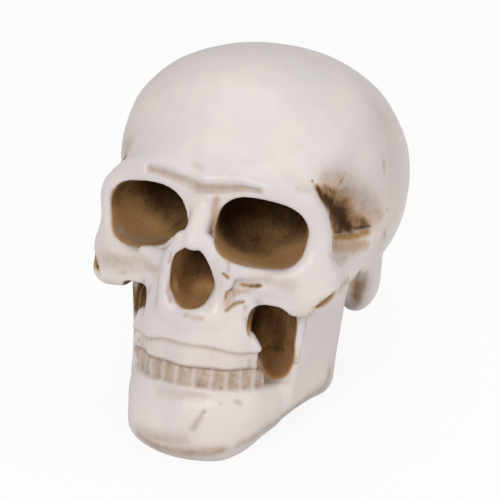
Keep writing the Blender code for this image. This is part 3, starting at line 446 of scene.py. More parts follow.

# Marks of the modelling tool, of the stain and of painted shade and light, on the side that the photo shows
# or
# in pairs: the path's photo pixels and width in millimetres, how deep it is cut, and how much thin film and
# painted shade, brown wash, and painted shade on the wash is laid into it, or taken off where that is less
# than zero, which paints light at the feet of the sockets, the hollows and the nose. A path without a depth
# runs at the foot of its cut.
MARKS = (
    # painted shade in the groove under the brow ridge
    Mark("brow groove", ((151, 169, 2.4), (166, 173, 2.8), (182, 179.5, 3.2), (198, 186.5, 3.4),
         (215, 188.5, 3), (243, 187.5, 2.6), (260, 190, 2)), cut=2.6, film=0.9),
    Mark("brow shade", ((200, 187, 2), (215, 188, 1.8), (235, 186.5, 1.8), (255, 188.5, 1.8)), film=0.5),
    Mark("brow ridge", ((178, 171, 3), (198, 176.5, 3), (211, 176.5, 3), (228, 172, 3.5),
         (247, 175, 4)), cut=-0.8),
    Mark("glabella", ((194, 165, 2.6), (200, 169, 2.2)), cut=0.8, film=0.3),
    Mark("far rim", ((101, 246, 2.4), (118, 250.5, 2.4), (136, 252, 2.4), (155, 249.5, 2.2)), cut=-0.7),
    # painted shade on the front of the far cheek, under the socket's rim
    Mark("far cheek", ((102, 259, 5), (122, 262, 6), (142, 262, 5), (154, 269, 4)), cut=1.5, film=0.55,
         depth=2.5),
    Mark("far crease", ((119, 271.5, 1), (127, 272.5, 0.9)), cut=0.3, film=0.6, wash=0.2),
    # painted shade in the valley under the near socket
    Mark("near valley", ((240, 282, 3), (258, 280.5, 3.2), (275, 281, 3.6), (290, 286, 4.2)),
         cut=1.8, film=0.5),
    Mark("near ridge", ((262, 292, 3.5), (280, 294, 4), (300, 296, 4)), cut=-0.6),
    Mark("beside the nose", ((161, 268, 2.6), (157, 285, 3), (156, 302, 3.2)), cut=0.7, film=0.3,
         depth=1.2),
    Mark("nose's shoulder", ((217, 262, 2.6), (221, 285, 3), (222, 305, 3)), cut=0.6, film=0.25),
    Mark("furrow", ((225, 299, 1.2), (227, 291.6, 1.5), (233, 288, 1.7), (243, 284.6, 1.6),
         (253, 286, 1.6), (261, 285.5, 1.3)), cut=1.2, film=0.9, wash=0.75, dark=0.5),
    Mark("low furrow", ((225.8, 310.7, 1), (231.6, 306, 1.5), (237, 302.5, 1.4), (243, 301.8, 1.2)),
         cut=1, film=0.9, wash=0.7, dark=0.5, depth=0.6),
    Mark("furrow's fringe", ((226, 303, 2.4), (230, 294, 2.6), (238, 292, 2.2), (248, 290, 2)),
         film=0.75, wash=0.3),
    Mark("pit", ((222.9, 273, 1.3), (227.5, 277.4, 1.5)), cut=1.3, film=0.8, wash=0.8, dark=0.5),
    Mark("pit's tail", ((228.4, 261, 1), (227.4, 271, 1.3)), film=0.75, wash=0.15),
    Mark("under the nose", ((186, 315, 1.8), (194, 317.5, 2), (202, 318, 1.6)),
         cut=0.2, film=0.8, wash=0.32),
    Mark("beside the nose's top", ((171, 253, 1), (169, 262, 1)), cut=0.2, film=0.7, wash=0.25),
    Mark("mental pit", ((204.3, 411.8, 1.3),), cut=1.2, film=0.8, wash=0.55, dark=0.2, depth=0.7),
    Mark("mental pit's tail", ((203, 413, 1.4), (199, 419, 1.6), (193, 429, 2.2)), film=0.75, wash=0.1),
    Mark("low mark", ((221, 403, 0.9),), cut=0.5, film=0.6, wash=0.1, depth=0),
    Mark("low smudge", ((236, 401.5, 1.4), (240, 403, 1.2)), cut=0.2, film=0.7, wash=0.1),
    Mark("chin's scratch", ((167, 427, 1.4), (183, 426.5, 1.2)), cut=-0.5),
    Mark("chin's edge", ((140, 435, 3.5), (156, 446, 4.5), (178, 452, 5), (202, 453.5, 4.5),
         (222, 450, 3.5)), film=1, wash=0.08),
    Mark("chin's low side", ((140, 431, 4), (160, 438, 5), (182, 440, 5)), film=0.6),
    # painted shade along the jaw's lower border
    Mark("jaw's border", ((240, 444, 3.5), (262, 431, 3.5), (281, 418, 3.5), (303, 401, 4),
         (323, 388, 4.5), (329, 372, 4)), film=0.75, pair=True),
    Mark("temple by the rim", ((318, 189, 3), (321, 195, 4.5), (328, 203, 6), (335, 211, 7.5),
         (340, 219, 8), (341, 226, 6)), film=1, wash=0.95, dark=0.72, pair=True),
    Mark("behind the rim", ((332.5, 215, 2.2), (333.5, 222, 2.8), (335, 229, 2.8)),
         film=1, wash=1, dark=0.6, pair=True),
    Mark("temple's dark", ((325, 197, 4.5), (332, 205, 6.5), (338, 212, 8), (343, 221, 8),
         (350, 228, 5)), film=1, wash=1, dark=0.8, pair=True),
    Mark("temple's fade", ((325, 190, 5), (335, 197, 7), (343, 208, 9), (352, 219, 7),
         (366, 223, 4)), film=1, wash=0.82, dark=0.5, pair=True),
    Mark("temple's veil", ((326, 178, 6), (343, 183, 8), (355, 197, 10), (367, 209, 9),
         (377, 216, 6)), film=0.85, wash=0.1, pair=True),
    Mark("crack", ((334.5, 232.6, 1.1), (344, 230.8, 1.1), (354, 229, 1.2), (362.4, 227.4, 1.5),
         (369, 226, 1.5)), cut=1.6, film=1, wash=1, dark=0.95, pair=True, depth=0.5),
    Mark("crack's shade", ((336, 230, 3.2), (345, 228.5, 3.2), (355, 227, 3.2), (364, 225.5, 2.6)),
         film=1, wash=0.85, dark=0.45, pair=True, depth=-0.5),
    Mark("shelf", ((336, 237.5, 3), (346.7, 237.3, 3), (356.4, 235.5, 3), (368, 231.5, 2)),
         film=1, wash=0.8, dark=0.35, pair=True),
    Mark("shelf's fade", ((333, 246, 5), (344, 248, 5), (356, 246, 4.5), (364, 244.5, 3.5)),
         film=0.9, wash=0.4, pair=True),
    Mark("shelf's foot", ((333, 257, 3.5), (345.5, 257, 3.5)), film=0.7, wash=0.15, pair=True),
    Mark("rim pit", ((322.4, 192.4, 1.1),), cut=1.1, film=0.6, wash=0.9, dark=0.9),
    Mark("temple pit", ((330.3, 190, 1.1),), cut=1.1, film=0.6, wash=0.9, dark=0.9),
    Mark("brow pit", ((312.4, 181, 0.9),), cut=0.9, film=0.4, wash=0.8, dark=0.6, depth=0.3),
    Mark("scratch", ((339.4, 185, 0.9), (341.5, 181, 1.1), (343.2, 177.5, 0.8)),
         cut=0.9, film=0.7, wash=0.85, dark=0.5),
    Mark("scratch's end", ((343.6, 174.5, 0.7), (346.9, 171.8, 0.7)),
         cut=0.6, film=0.5, wash=0.55, dark=0.3),
    Mark("side pit", ((386, 208.8, 0.9), (387.5, 209.8, 0.9)), cut=0.7, film=0.7, wash=0.5, dark=0.1),
    Mark("side stroke", ((384, 161, 1.4), (384.6, 173, 1.5)), cut=0.3, film=0.8),
    Mark("side smudge", ((384.8, 231, 2), (384.5, 238, 2.2)), film=0.8, wash=0.1),
    Mark("back smudge", ((390, 185, 1.6),), film=0.6),
    Mark("brow's orange", ((298, 189, 2), (308, 192, 2)), film=0.4),
    # painted shade, a warm film over the braincase's side
    Mark("braincase side", ((385, 120, 16), (392, 160, 18), (390, 200, 18), (384, 240, 12)),
         film=0.34, pair=True),
    Mark("before the ear", ((358, 273, 3), (357, 284, 4), (355, 296, 3.5)),
         film=1, wash=0.6, dark=0.45, pair=True),
    Mark("ear's front", ((363, 273, 3.4), (363, 284, 4.4), (358, 300, 5)),
         film=0.9, wash=0.25, dark=0.1, pair=True),
    Mark("under the arch", ((317, 307.5, 1.6), (325, 303, 3.2), (332, 297, 3)),
         film=0.9, wash=0.8, dark=0.35, pair=True),
    Mark("arch's notch", ((335, 292, 0.9), (329, 298, 1.3), (323, 303, 1.3), (317, 307.5, 1)),
         cut=0.8, film=1, wash=0.95, dark=0.8, pair=True, depth=0),
    Mark("arch's crease", ((337, 291, 1.6), (349, 278.5, 1.8)), film=0.8, wash=0.25, pair=True),
    Mark("hollow's foot", ((257, 362, 2), (260, 369, 2.6), (271, 371, 3), (281, 366, 3),
         (290, 355, 2.6)), film=1, wash=0.75, dark=0.1, pair=True),
    Mark("hollow's fringe", ((256, 372, 2.2), (264, 376, 2.6), (275, 377, 2.6), (285, 371, 2.4),
         (294, 358, 2)), film=0.9, wash=0.42, pair=True),
    Mark("hollow's rim", ((245.5, 307, 1.4), (247, 322, 1.6), (253, 332, 1.6), (260, 340, 1.4)),
         film=0.8, wash=0.35, pair=True),
    Mark("hollow's lip", ((258, 301, 1.8), (280, 308, 1.8), (300, 318, 2), (315, 308, 2)),
         film=0.6, wash=0.05, pair=True),
    Mark("corner line", ((210.5, 226, 0.8), (212, 232, 0.9), (215, 240, 0.9), (219, 247, 0.8)),
         cut=0.2, film=0.9, wash=0.75, dark=0.5),
    Mark("socket's inner edge", ((217, 198, 2), (214.5, 212, 2.4), (214, 226, 2.6), (218, 240, 2.2),
         (227, 252, 1.6)), film=0.9, wash=0.42, dark=0.15),
    Mark("socket's outer edge", ((113, 190, 1.2), (112.5, 205, 1.4), (113, 222, 1.6),
         (116, 236, 1.6)), film=0.8, wash=0.4),
    Mark("nose's edge", ((170.5, 280, 1.2), (167.5, 292, 1.4), (170, 301, 1.4)), film=0.8, wash=0.4),
    Mark("far hollow's wall", ((133.5, 288, 3), (135, 298, 3), (137, 309, 2.5)),
         film=1, wash=0.85, dark=0.5),
    # painted shadow under the arch's lower border
    Mark("arch's border", ((299, 319, 2.2), (315, 310, 2.2), (337, 293, 2.2), (352, 281, 2.4),
         (365, 272, 2.4)), film=0.55, pair=True),
    # painted shade deep in the cheek hollow
    Mark("hollow's depth", ((262, 305, 8), (272, 320, 9), (280, 336, 8), (278, 348, 6)),
         dark=0.5, pair=True),
    # painted light: the wash thinned and its painted shade taken off at the foot of the hollow
    Mark("hollow's foot lit", ((260, 358, 5), (269, 364, 6), (280, 364, 6), (288, 355, 4)),
         film=1, wash=-0.5, dark=-1, pair=True),
    Mark("nose's far wall", ((178.5, 254, 2.2), (177.5, 260, 3), (176.5, 266, 3.4), (175, 274, 3)),
         film=1, wash=1.3, dark=0.4),
    # painted light: the wash thinned and its painted shade taken off at the feet of the sockets and the nose
    Mark("near socket's foot", ((240, 262, 4), (258, 266.5, 4.5), (278, 269, 4.5), (296, 264, 4)),
         film=-0.35, wash=-0.55, dark=-1),
    Mark("far socket's foot", ((119, 228, 4), (130, 238, 4.5), (146, 241, 4.5), (160, 238, 4)),
         film=-0.35, wash=-0.55, dark=-1),
    Mark("nose's foot", ((171, 292, 3), (176, 303, 3), (190, 305, 3)), wash=-0.2, dark=-0.5),
    Mark("ledge under the teeth", ((149.3, 379.5, 1.6), (164, 381.7, 1.6), (190.4, 386.8, 1.6),
         (208, 392.7, 1.6), (225.6, 390.5, 1.6), (244.7, 383.9, 1.6)), cut=-0.9, depth=0),
    Mark("hollow over the chin", ((156.7, 391, 3.4), (178.7, 395.6, 3.6), (202, 398.5, 3.4)),
         cut=1, film=0.35, depth=0),
    Mark("hollow's teeth", ((250, 360, 2), (248, 372, 2), (246, 380, 1.8)),
         film=0.7, wash=0.2, pair=True),
)


def upright(points):
    """Leaned points back in the clay's own frame: the opposite of lean_back."""
    x, y, z = np.moveaxis(np.asarray(points, float), -1, 0)
    front = y * math.cos(LEAN) - z * math.sin(LEAN)
    return np.stack([x, front, z * math.cos(LEAN) + y * math.sin(LEAN)], -1)


def sampled(distances, points):
    """Distances at points of the clay, from the eight grid points round each, by how near they are."""
    cell = (points - GRID_START) / CLAY_STEP
    cell = np.clip(cell, 0, np.array(distances.shape) - 1.001)
    corner = cell.astype(int)
    share = cell - corner
    total = np.zeros(len(points))
    for i in range(8):
        step = np.array([i & 1, i >> 1 & 1, i >> 2 & 1])
        weight = np.where(step, share, 1 - share).prod(1)
        total += weight * distances[tuple((corner + step).T)]
    return total


RAY_START = LENS_DISTANCE - 190.0
RAY_STEPS = 400
RAY_SHARE = 0.6
LEAST_STEP = 0.15
ON_SKIN = 0.05


def on_clay(clay, path, depth):
    """A mark's path at a depth in the clay: each pixel's ray is followed by a share of the distance that is
    left to the skin, until that is spent, and then on by the depth, or back if that is less than zero."""
    path = np.array(path, float)
    right = np.array(look.cross(Vector((0, 0, 1))).normalized())
    up = np.cross(right, look)
    aside, above = (path[:, :2] - AIM_PIXEL).T[:, :, None] / PIXELS_PER_MM
    rays = np.array(look) * LENS_DISTANCE + right * aside - up * above
    rays /= np.linalg.norm(rays, axis=1)[:, None]
    gone = np.full(len(path), RAY_START)
    for _ in range(RAY_STEPS):
        places = upright(rays * gone[:, None] - np.array(look) * LENS_DISTANCE)
        left = sampled(clay.skin, places)
        gone += np.where(left < ON_SKIN, 0.0, np.maximum(LEAST_STEP, RAY_SHARE * left))
    return np.column_stack([places + depth * upright(rays), path[:, 2]])


def press_marks(clay):
    """Cut each mark into the clay as the camera sees it so far, and give each with its path on the clay."""
    pressed = []
    for mark in MARKS:
        path = on_clay(clay, mark.path, mark.cut if mark.depth is None else mark.depth)
        for side in (1, -1) if mark.pair else (1,):
            pressed.append(mark._replace(path=path * (side, 1, 1, 1)))
            if mark.cut:
                clay.draw(pressed[-1].path, mark.cut)
    return pressed


clay = Clay()
build_up(clay)
clay.mirror()
GRID_START = np.array([clay.x[0], clay.y[0], clay.z[0]])
clay.press_on(lump((-60, -73, -22), (8.5, 8, 8)), 8, False)
uncarved = clay.skin.copy()
hollow_out(clay)
tool_teeth(clay)
shift_by_hand(clay)
marks = press_marks(clay)


def skin_of(distances):
    """The skin where the distances cross zero: one vertex in each cell that it crosses, at the mean of the
    crossings on the cell's edges, and one quad over each crossed edge of the grid."""
    inside = distances < 0
    cells_shape = np.array(inside.shape) - 1
    corners = [(i, j, k) for i in (0, 1) for j in (0, 1) for k in (0, 1)]
    count = sum(inside[i:i + cells_shape[0], j:j + cells_shape[1], k:k + cells_shape[2]].astype(np.uint8)
                for i, j, k in corners)
    crossed = (count > 0) & (count < 8)
    cells = np.argwhere(crossed)
    number = np.full(crossed.shape, -1)
    number[crossed] = np.arange(len(cells))
    value = {c: distances[tuple((cells + c).T)].astype(float) for c in corners}
    total = np.zeros((len(cells), 3))
    crossings = np.zeros(len(cells))
    for corner in corners:
        for axis in range(3):
            if corner[axis]:
                continue
            other = tuple(1 if i == axis else c for i, c in enumerate(corner))
            a, b = value[corner], value[other]
            cut = (a < 0) != (b < 0)
            place = np.tile(np.array(corner, float), (len(cells), 1))
            place[:, axis] = np.where(cut, a / np.where(cut, a - b, 1), 0)
            total[cut] += place[cut]
            crossings[cut] += 1
    points = GRID_START + (cells + total / crossings[:, None]) * CLAY_STEP
    faces = []
    for axis in range(3):
        first, second = [a for a in range(3) if a != axis]
        before = np.take(inside, range(inside.shape[axis] - 1), axis)
        after = np.take(inside, range(1, inside.shape[axis]), axis)
        edges = np.argwhere(before != after)
        filled = before[tuple(edges.T)]
        ring = []
        for step_first, step_second in ((0, 0), (-1, 0), (-1, -1), (0, -1)):
            around = edges.copy()
            around[:, first] += step_first
            around[:, second] += step_second
            ring.append(number[tuple(around.T)])
        ring = np.stack(ring, 1)
        backwards = ~filled if axis != 1 else filled
        ring[backwards] = ring[backwards][:, ::-1]
        faces.append(ring)
    return points, np.concatenate(faces)


LATTICE = 32
LATTICE_SHIFT = 100.37


def lattice_noise(points, size, seed):
    """Soft unevenness between -1 and 1: random values on a lattice of that size, joined by t^2 (3 - 2t)."""
    values = np.random.default_rng(seed).uniform(-1, 1, (LATTICE, LATTICE, LATTICE))
    place = points / size + LATTICE_SHIFT
    corner = np.floor(place).astype(int)
    t = place - corner
    t = t * t * (3 - 2 * t)
    total = np.zeros(len(points))
    for i in range(8):
        step = np.array([i & 1, i >> 1 & 1, i >> 2 & 1])
        total += np.where(step, t, 1 - t).prod(1) * values[tuple((corner + step).T % LATTICE)]
    return total


def mesh_of(name, points, faces):
    """A mesh in the row frame from points of the clay, none of them below the floor."""
    mesh = bpy.data.meshes.new(name)
    points = set_down(points)
    points[:, 2] = np.maximum(points[:, 2], 0.0)
    mesh.from_pydata(points, [], faces.tolist())
    mesh.update()
    return mesh


def split(points, quads):
    """Quads split into triangles along their shorter diagonals."""
    across = np.linalg.norm(points[quads[:, 0]] - points[quads[:, 2]], axis=1)
    other = np.linalg.norm(points[quads[:, 1]] - points[quads[:, 3]], axis=1)
    quads = np.where((across < other)[:, None], quads, np.roll(quads, 1, 1))
    return np.concatenate([quads[:, [0, 1, 2]], quads[:, [0, 2, 3]]])


def thinned(name, points, quads, most_triangles):
    """The points and triangles of a skin, with its flattest places collapsed until it has few enough."""
    faces = split(points, quads)
    mesh = bpy.data.meshes.new(name + "_full")
    mesh.from_pydata(points, [], faces.tolist())
    holder = bpy.data.objects.new(name + "_full", mesh)
    bpy.context.scene.collection.objects.link(holder)
    fewer = holder.modifiers.new("fewer", "DECIMATE")
    fewer.ratio = min(1.0, most_triangles / len(faces))
    thin = holder.evaluated_get(bpy.context.evaluated_depsgraph_get()).to_mesh()
    thin_points = np.zeros(len(thin.vertices) * 3)
    thin.vertices.foreach_get("co", thin_points)
    thin_faces = np.zeros(len(thin.polygons) * 3, int)
    thin.polygons.foreach_get("vertices", thin_faces)
    normals = np.zeros(len(thin.vertices) * 3)
    thin.vertex_normals.foreach_get("vector", normals)
    bpy.data.objects.remove(holder)
    return thin_points.reshape(-1, 3), thin_faces.reshape(-1, 3), normals.reshape(-1, 3)


HALF_JOINT = 0.16
FLANK = 35.475
PLATE_TOP = -25.46
PLATE_FRONT = -57.0
JAW_REAR = 5.7
HOLLOW_CENTRE = (0.0, -3.8, 30.02)
HOLLOW_RADII = (70.5, 83.0, 64.0)
HOLLOW_FRONT = -18.05
HOLLOW_FRONT_TOP = 56.24
NECK_CENTRE = 42.75
BORE_RADII = (18.0, 20.0)
BORE_TOP = 12.92
BORE_MOUTH = 3.0

grid = [axis.astype(np.float32) for axis in (
    clay.x[:, None, None], clay.y[None, :, None], clay.z[None, None, :])]
below_bite = np.maximum(grid[2] - BITE_HEIGHT, grid[1] - JAW_REAR)
in_plates = np.maximum(np.maximum(FLANK - np.abs(grid[0]), PLATE_FRONT - grid[1]),
                       np.maximum(grid[1] - JAW_REAR, grid[2] - PLATE_TOP))
jaw_side = np.minimum(below_bite, in_plates)
above_floor = -EAR_HEIGHT - (grid[2] * math.cos(LEAN) - grid[1] * math.sin(LEAN))
full_skin = np.maximum(clay.skin, above_floor)


STAIN_EDGE = (1.5, 0.2)
STAIN_DEPTH = (0.1, 1.2)
# Painted shade: the reaches and openness at which film is laid where the skin is closed in, and the depth
# and cap of the painted shade on the wash
SHADE_REACHES = (5.0, 14.0, 32.0)
SHADE_OPENNESS = (0.75, 0.25)
SHADE_FILM = 0.55
FULL_SHADE_DEPTH = 26.0
DARKEST_SHADE = 0.85


def wear(points, normals):
    """How much thin film and brown wash lies on each point, and how much painted shade darkens the wash. The
    wash gathers in the pockets, where a tool has gone below the clay's first skin, and in the marks. The
    film is partly painted shade, where the skin is closed in and in the teeth's grooves. The painted shade
    on the
    wash is deepest deep inside and under an edge, and painted light lightens it where it faces up:
    0.3 + 0.5 deep - 0.3 up, and where it faces up less 0.6 up (1 - deep)."""
    depth = -sampled(uncarved, points)
    openness = sum(np.clip(sampled(full_skin, points + normals * reach) / reach, -0.3, 1)
                   for reach in SHADE_REACHES) / len(SHADE_REACHES)
    up = np.clip(normals[:, 2] * math.cos(LEAN) - normals[:, 1] * math.sin(LEAN), -1, 1)
    wash = ramp(sampled(clay.pocket, points), *STAIN_EDGE) * ramp(depth, *STAIN_DEPTH)
    # painted shade: film where the skin is closed in round the point, and on the rows of teeth
    film = np.maximum(wash, SHADE_FILM * ramp(openness, *SHADE_OPENNESS))
    film = np.maximum(film, sampled(clay.shade, points))
    deep = ramp(depth, 0.0, FULL_SHADE_DEPTH)
    # painted shade on the wash: deeper inside and under edges, lightened as painted light where it faces up
    dark = 0.3 + 0.5 * deep - 0.3 * up - 0.6 * np.maximum(up, 0) * (1 - deep)
    dark = np.clip(dark, 0, DARKEST_SHADE) * wash
    for mark in marks:
        reach = SOFT_REACH * mark.path[:, 3].max()
        low, high = mark.path[:, :3].min(0) - reach, mark.path[:, :3].max(0) + reach
        near = ((points > low) & (points < high)).all(1)
        share = nearness(mark.path, list(points[near].T))
        # marks lay film and painted shade, brown wash and painted shade on the wash, or take them off as
        # painted light
        for layer, amount in ((film, mark.film), (wash, mark.wash), (dark, mark.dark)):
            rubbed = np.maximum(layer[near], amount * share)
            layer[near] = rubbed if amount >= 0 else layer[near] * (1 + amount * share)
    return film, wash, dark


class Glaze:
    """One output of a material's nodes. A sum on it adds Math nodes."""

    def __init__(self, tree, socket=None):
        self.tree = tree
        self.socket = socket

    def node(self, kind, settings, inputs, output=0):
        """Add a node, set it up, join or fill its sockets, and return one of its outputs."""
        made = self.tree.nodes.new("ShaderNode" + kind)
        for name, value in settings.items():
            setattr(made, name, value)
        for name, value in inputs.items():
            if isinstance(value, Glaze):
                self.tree.links.new(value.socket, made.inputs[name])
            else:
                made.inputs[name].default_value = value
        return Glaze(self.tree, made.outputs[output]) if made.outputs else None

    def sum(self, operation, *values):
        return self.node("Math", {"operation": operation}, dict(enumerate(values)))

    def __add__(self, other):
        return self.sum("ADD", self, other)

    __radd__ = __add__

    def __mul__(self, other):
        return self.sum("MULTIPLY", self, other)

    __rmul__ = __mul__

    def __sub__(self, other):
        return self.sum("SUBTRACT", self, other)

    def __rsub__(self, other):
        return self.sum("SUBTRACT", other, self)

    def rising(self, start, stop):
        """0 below start, 1 above stop, and smooth between."""
        settings = {"interpolation_type": "SMOOTHSTEP"}
        return self.node("MapRange", settings, {"Value": self, "From Min": start, "From Max": stop})

    def noise(self, scale, detail=3.0, roughness=0.5, stretch=(1, 1, 1)):
        """Unevenness about 0.5 over the object, with features of 1 / scale metres."""
        place = self.node("TexCoord", {}, {}, "Object")
        if stretch != (1, 1, 1):
            place = self.node("Mapping", {}, {"Vector": place, "Scale": stretch})
        return self.node("TexNoise", {}, {"Vector": place, "Scale": scale, "Detail": detail,
                                          "Roughness": roughness}, "Fac")

    def kept(self, name):
        """A value kept on the mesh's points."""
        return self.node("Attribute", {"attribute_name": name}, {}, "Fac")

    def colour(self, share, first, second):
        """The first colour, passing to the second as share goes from 0 to 1."""
        sides = [c if isinstance(c, Glaze) else (*c, 1.0) for c in (first, second)]
        return self.node("Mix", {"data_type": "RGBA"}, {0: share, 6: sides[0], 7: sides[1]}, 2)


def new_glaze(name):
    """A material without its first nodes, and the start of its nodes."""
    made = bpy.data.materials.new(name)
    made.use_nodes = True
    made.node_tree.nodes.clear()
    return made, Glaze(made.node_tree)


def finish_glaze(start, inputs, height, height_scale):
    """End a material in a Principled shader, with a bump of that height in metres."""
    bump = start.node("Bump", {}, {"Strength": 1.0, "Distance": height_scale, "Height": height})
    shader = start.node("BsdfPrincipled", {}, {**inputs, "Normal": bump})
    start.node("OutputMaterial", {}, {"Surface": shader})


def tone(red, green, blue):
    """A colour as it looks on a screen, from 0 to 255, made linear."""
    return tuple(((c / 255 + 0.055) / 1.055) ** 2.4 for c in (red, green, blue))


BONE = tone(226, 216, 211)
BONE_WARM = tone(221, 205, 196)
BONE_COOL = tone(218, 210, 210)
# The film's tone, also used for painted shade; the wash's tone in painted shade; the grey of streaks in that
# shade
FILM_AND_SHADE_TONE = tone(172, 147, 124)
WASH_TAN = tone(204, 160, 108)
WASH_IN_SHADE = tone(60, 35, 16)
STREAKED_SHADE_GREY = tone(66, 60, 58)


def ceramic_skin(start):
    """The ceramic's colour with its film and painted shade and its brown wash, darkened where painted shade
    lies on the wash, and how far brown wash covers it and how rough it is to touch.
    """
    broad = start.noise(24.0, 4.0, 0.55)
    middle = start.noise(110.0, 5.0, 0.6)
    fine = start.noise(420.0, 4.0, 0.6)
    streaks = start.noise(70.0, 5.0, 0.65, (3.2, 1.0, 0.8))
    bone = start.colour(broad.rising(0.38, 0.62), BONE_COOL, BONE)
    bone = start.colour(middle.rising(0.5, 0.8) * 0.5, bone, BONE_WARM)
    wash = start.kept("wash")
    # thin film together with painted shade in closed-in places, grooves and marks
    veil_and_shade = start.kept("film")
    uneven = (middle - 0.5) * 0.5 + (fine - 0.5) * 0.4 + (streaks - 0.5) * 0.6
    film = veil_and_shade * (0.8 + uneven * 1.4)
    cover = (wash + uneven * 0.6).rising(0.08, 0.9)
    specks = (fine + (middle - 0.5) * 0.4).rising(0.58, 0.66) * wash.rising(0.04, 0.4)
    # painted shade on the wash, turning it from its tan to its shaded tone
    dark = (start.kept("dark") + uneven * 0.5).rising(0.0, 0.85)
    brown = start.colour(dark, WASH_TAN, WASH_IN_SHADE)
    # grey streaks laid only in the painted shade on the wash, as strong as it
    streaked_shade = (streaks + (fine - 0.5) * 0.5).rising(0.52, 0.7) * dark * 0.5
    brown = start.colour(streaked_shade, brown, STREAKED_SHADE_GREY)
    skin = start.colour(film, bone, FILM_AND_SHADE_TONE)
    skin = start.colour(specks * 0.6, skin, WASH_TAN)
    skin = start.colour(cover, skin, brown)
    return skin, cover, middle * 0.6 + fine * 0.4 * (1 + cover * 2.0)


def fired_ceramic(name):
    """Satin off-white ceramic with brown wash rubbed into its hollows, and painted shade in its film and
    wash.
    """
    made, start = new_glaze(name)
    skin, cover, height = ceramic_skin(start)
    finish_glaze(start, {
        "Base Color": skin,
        "Roughness": 0.5 + cover * 0.4,
        "Specular IOR Level": 0.12,
        "Coat Weight": 0.7 - cover * 0.7,
        "Coat Roughness": 0.34,
    }, height, 0.0004)
    return made


def keep_on(mesh, layers):
    """Keep named values on a mesh's points."""
    for label, values in layers.items():
        layer = mesh.attributes.new(label, "FLOAT", "POINT")
        layer.data.foreach_set("value", values.astype(np.float32))


OUTER_SKIN = (-3.0, -0.5)
HAND_WORK = ((19.0, 0.42, 11), (7.0, 0.16, 12))


def dress_casting(name, distances, most_triangles):
    """A casting from its distances: its skin, the unevenness of hand work, its wash, film and painted shade,
    and its material.
    """
    points, faces, normals = thinned(name, *skin_of(distances), most_triangles)
    outside = ramp(sampled(full_skin, points), *OUTER_SKIN)
    hand_work = sum(height * lattice_noise(points, size, seed) for size, height, seed in HAND_WORK)
    film, wash, dark = wear(points, normals)
    points = points + normals * (outside * hand_work)[:, None]
    mesh = mesh_of(name, points, faces)
    keep_on(mesh, {"film": outside * film, "wash": outside * wash, "dark": dark})
    mesh.shade_smooth()
    mesh.materials.append(fired_ceramic(name + "_glaze"))
    piece = bpy.data.objects.new(name, mesh)
    bpy.context.scene.collection.objects.link(piece)
    return piece


# Cranium
# The upper casting: braincase, brow, eye sockets, nose, cheekbones and upper teeth, of fired refractory
# ceramic with a hollow braincase that opens through the bore of the neck.

room = np.sqrt(sum(((a - c) / r) ** 2 for a, c, r in zip(grid, HOLLOW_CENTRE, HOLLOW_RADII)))
hollow = (room - 1) * min(HOLLOW_RADII)
behind_face = np.maximum(grid[1] - HOLLOW_FRONT, grid[2] - HOLLOW_FRONT_TOP)
hollow = np.maximum(hollow, -behind_face)
bore = np.hypot(grid[0] / BORE_RADII[0], (grid[1] - NECK_CENTRE) / BORE_RADII[1]) - 1
bore = np.maximum(bore * min(BORE_RADII), grid[2] - BORE_TOP)
inner_space = melt(hollow, bore, BORE_MOUTH)

TOOTH_DOWEL = (19.8, -81.7, -60.04)
HOLE_RADIUS = 3.3
HOLE_HALF_LENGTH = 12.3
to_flank = [np.abs(grid[0]) - DOWEL_IN_CLAY[0], grid[1] - DOWEL_IN_CLAY[1], grid[2] - DOWEL_IN_CLAY[2]]
to_tooth = [np.abs(grid[0]) - TOOTH_DOWEL[0], grid[1] - TOOTH_DOWEL[1], grid[2] - TOOTH_DOWEL[2]]
dowel_holes = np.minimum(
    np.maximum(np.hypot(to_flank[1], to_flank[2]) - HOLE_RADIUS, np.abs(to_flank[0]) - HOLE_HALF_LENGTH),
    np.maximum(np.hypot(to_tooth[0], to_tooth[1]) - HOLE_RADIUS, np.abs(to_tooth[2]) - HOLE_HALF_LENGTH))
cranium_distances = np.maximum(np.maximum(full_skin, HALF_JOINT - jaw_side),
                               np.maximum(-inner_space, -dowel_holes))
CRANIUM_TRIANGLES = 190000
cranium = dress_casting("cranium_casting", cranium_distances, CRANIUM_TRIANGLES)
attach(cranium, "root")
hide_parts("cranium")

# Lower jaw
# The lower casting: chin, body, lower teeth and the two upright plates that are bedded on the cranium's
# flanks, of the same ceramic.

jaw_distances = np.maximum(np.maximum(full_skin, jaw_side + HALF_JOINT), -dowel_holes)
JAW_TRIANGLES = 120000
jaw = dress_casting("jaw_casting", jaw_distances, JAW_TRIANGLES)
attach(jaw, "root")
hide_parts("lower_jaw")

# Cement
# The beds between the castings and the dabs that hold the hoops are refractory cement, put on wet with a
# trowel, so it is coarse, dull and unevenly brown.

CEMENT_LIGHT = tone(150, 122, 84)
CEMENT_DARK = tone(96, 68, 38)
DABS = ("brow_dab", "crown_dab", "rear_dab", "left_dab", "right_dab")


def trowelled(name):
    """Coarse, dull refractory cement, unevenly brown, and glazed where a bed's edge shows."""
    made, start = new_glaze(name)
    patches = start.noise(180.0, 4.0, 0.6)
    grit = start.noise(1500.0, 3.0, 0.7)
    cement = start.colour(patches.rising(0.35, 0.65), CEMENT_DARK, CEMENT_LIGHT)
    finish_glaze(start, {
        "Base Color": start.colour(start.kept("glazed"), cement, ceramic_skin(start)[0]),
        "Roughness": 0.85 + (grit - 0.5) * 0.2,
    }, grit * 0.7 + patches * 0.3, 0.0006)
    return made


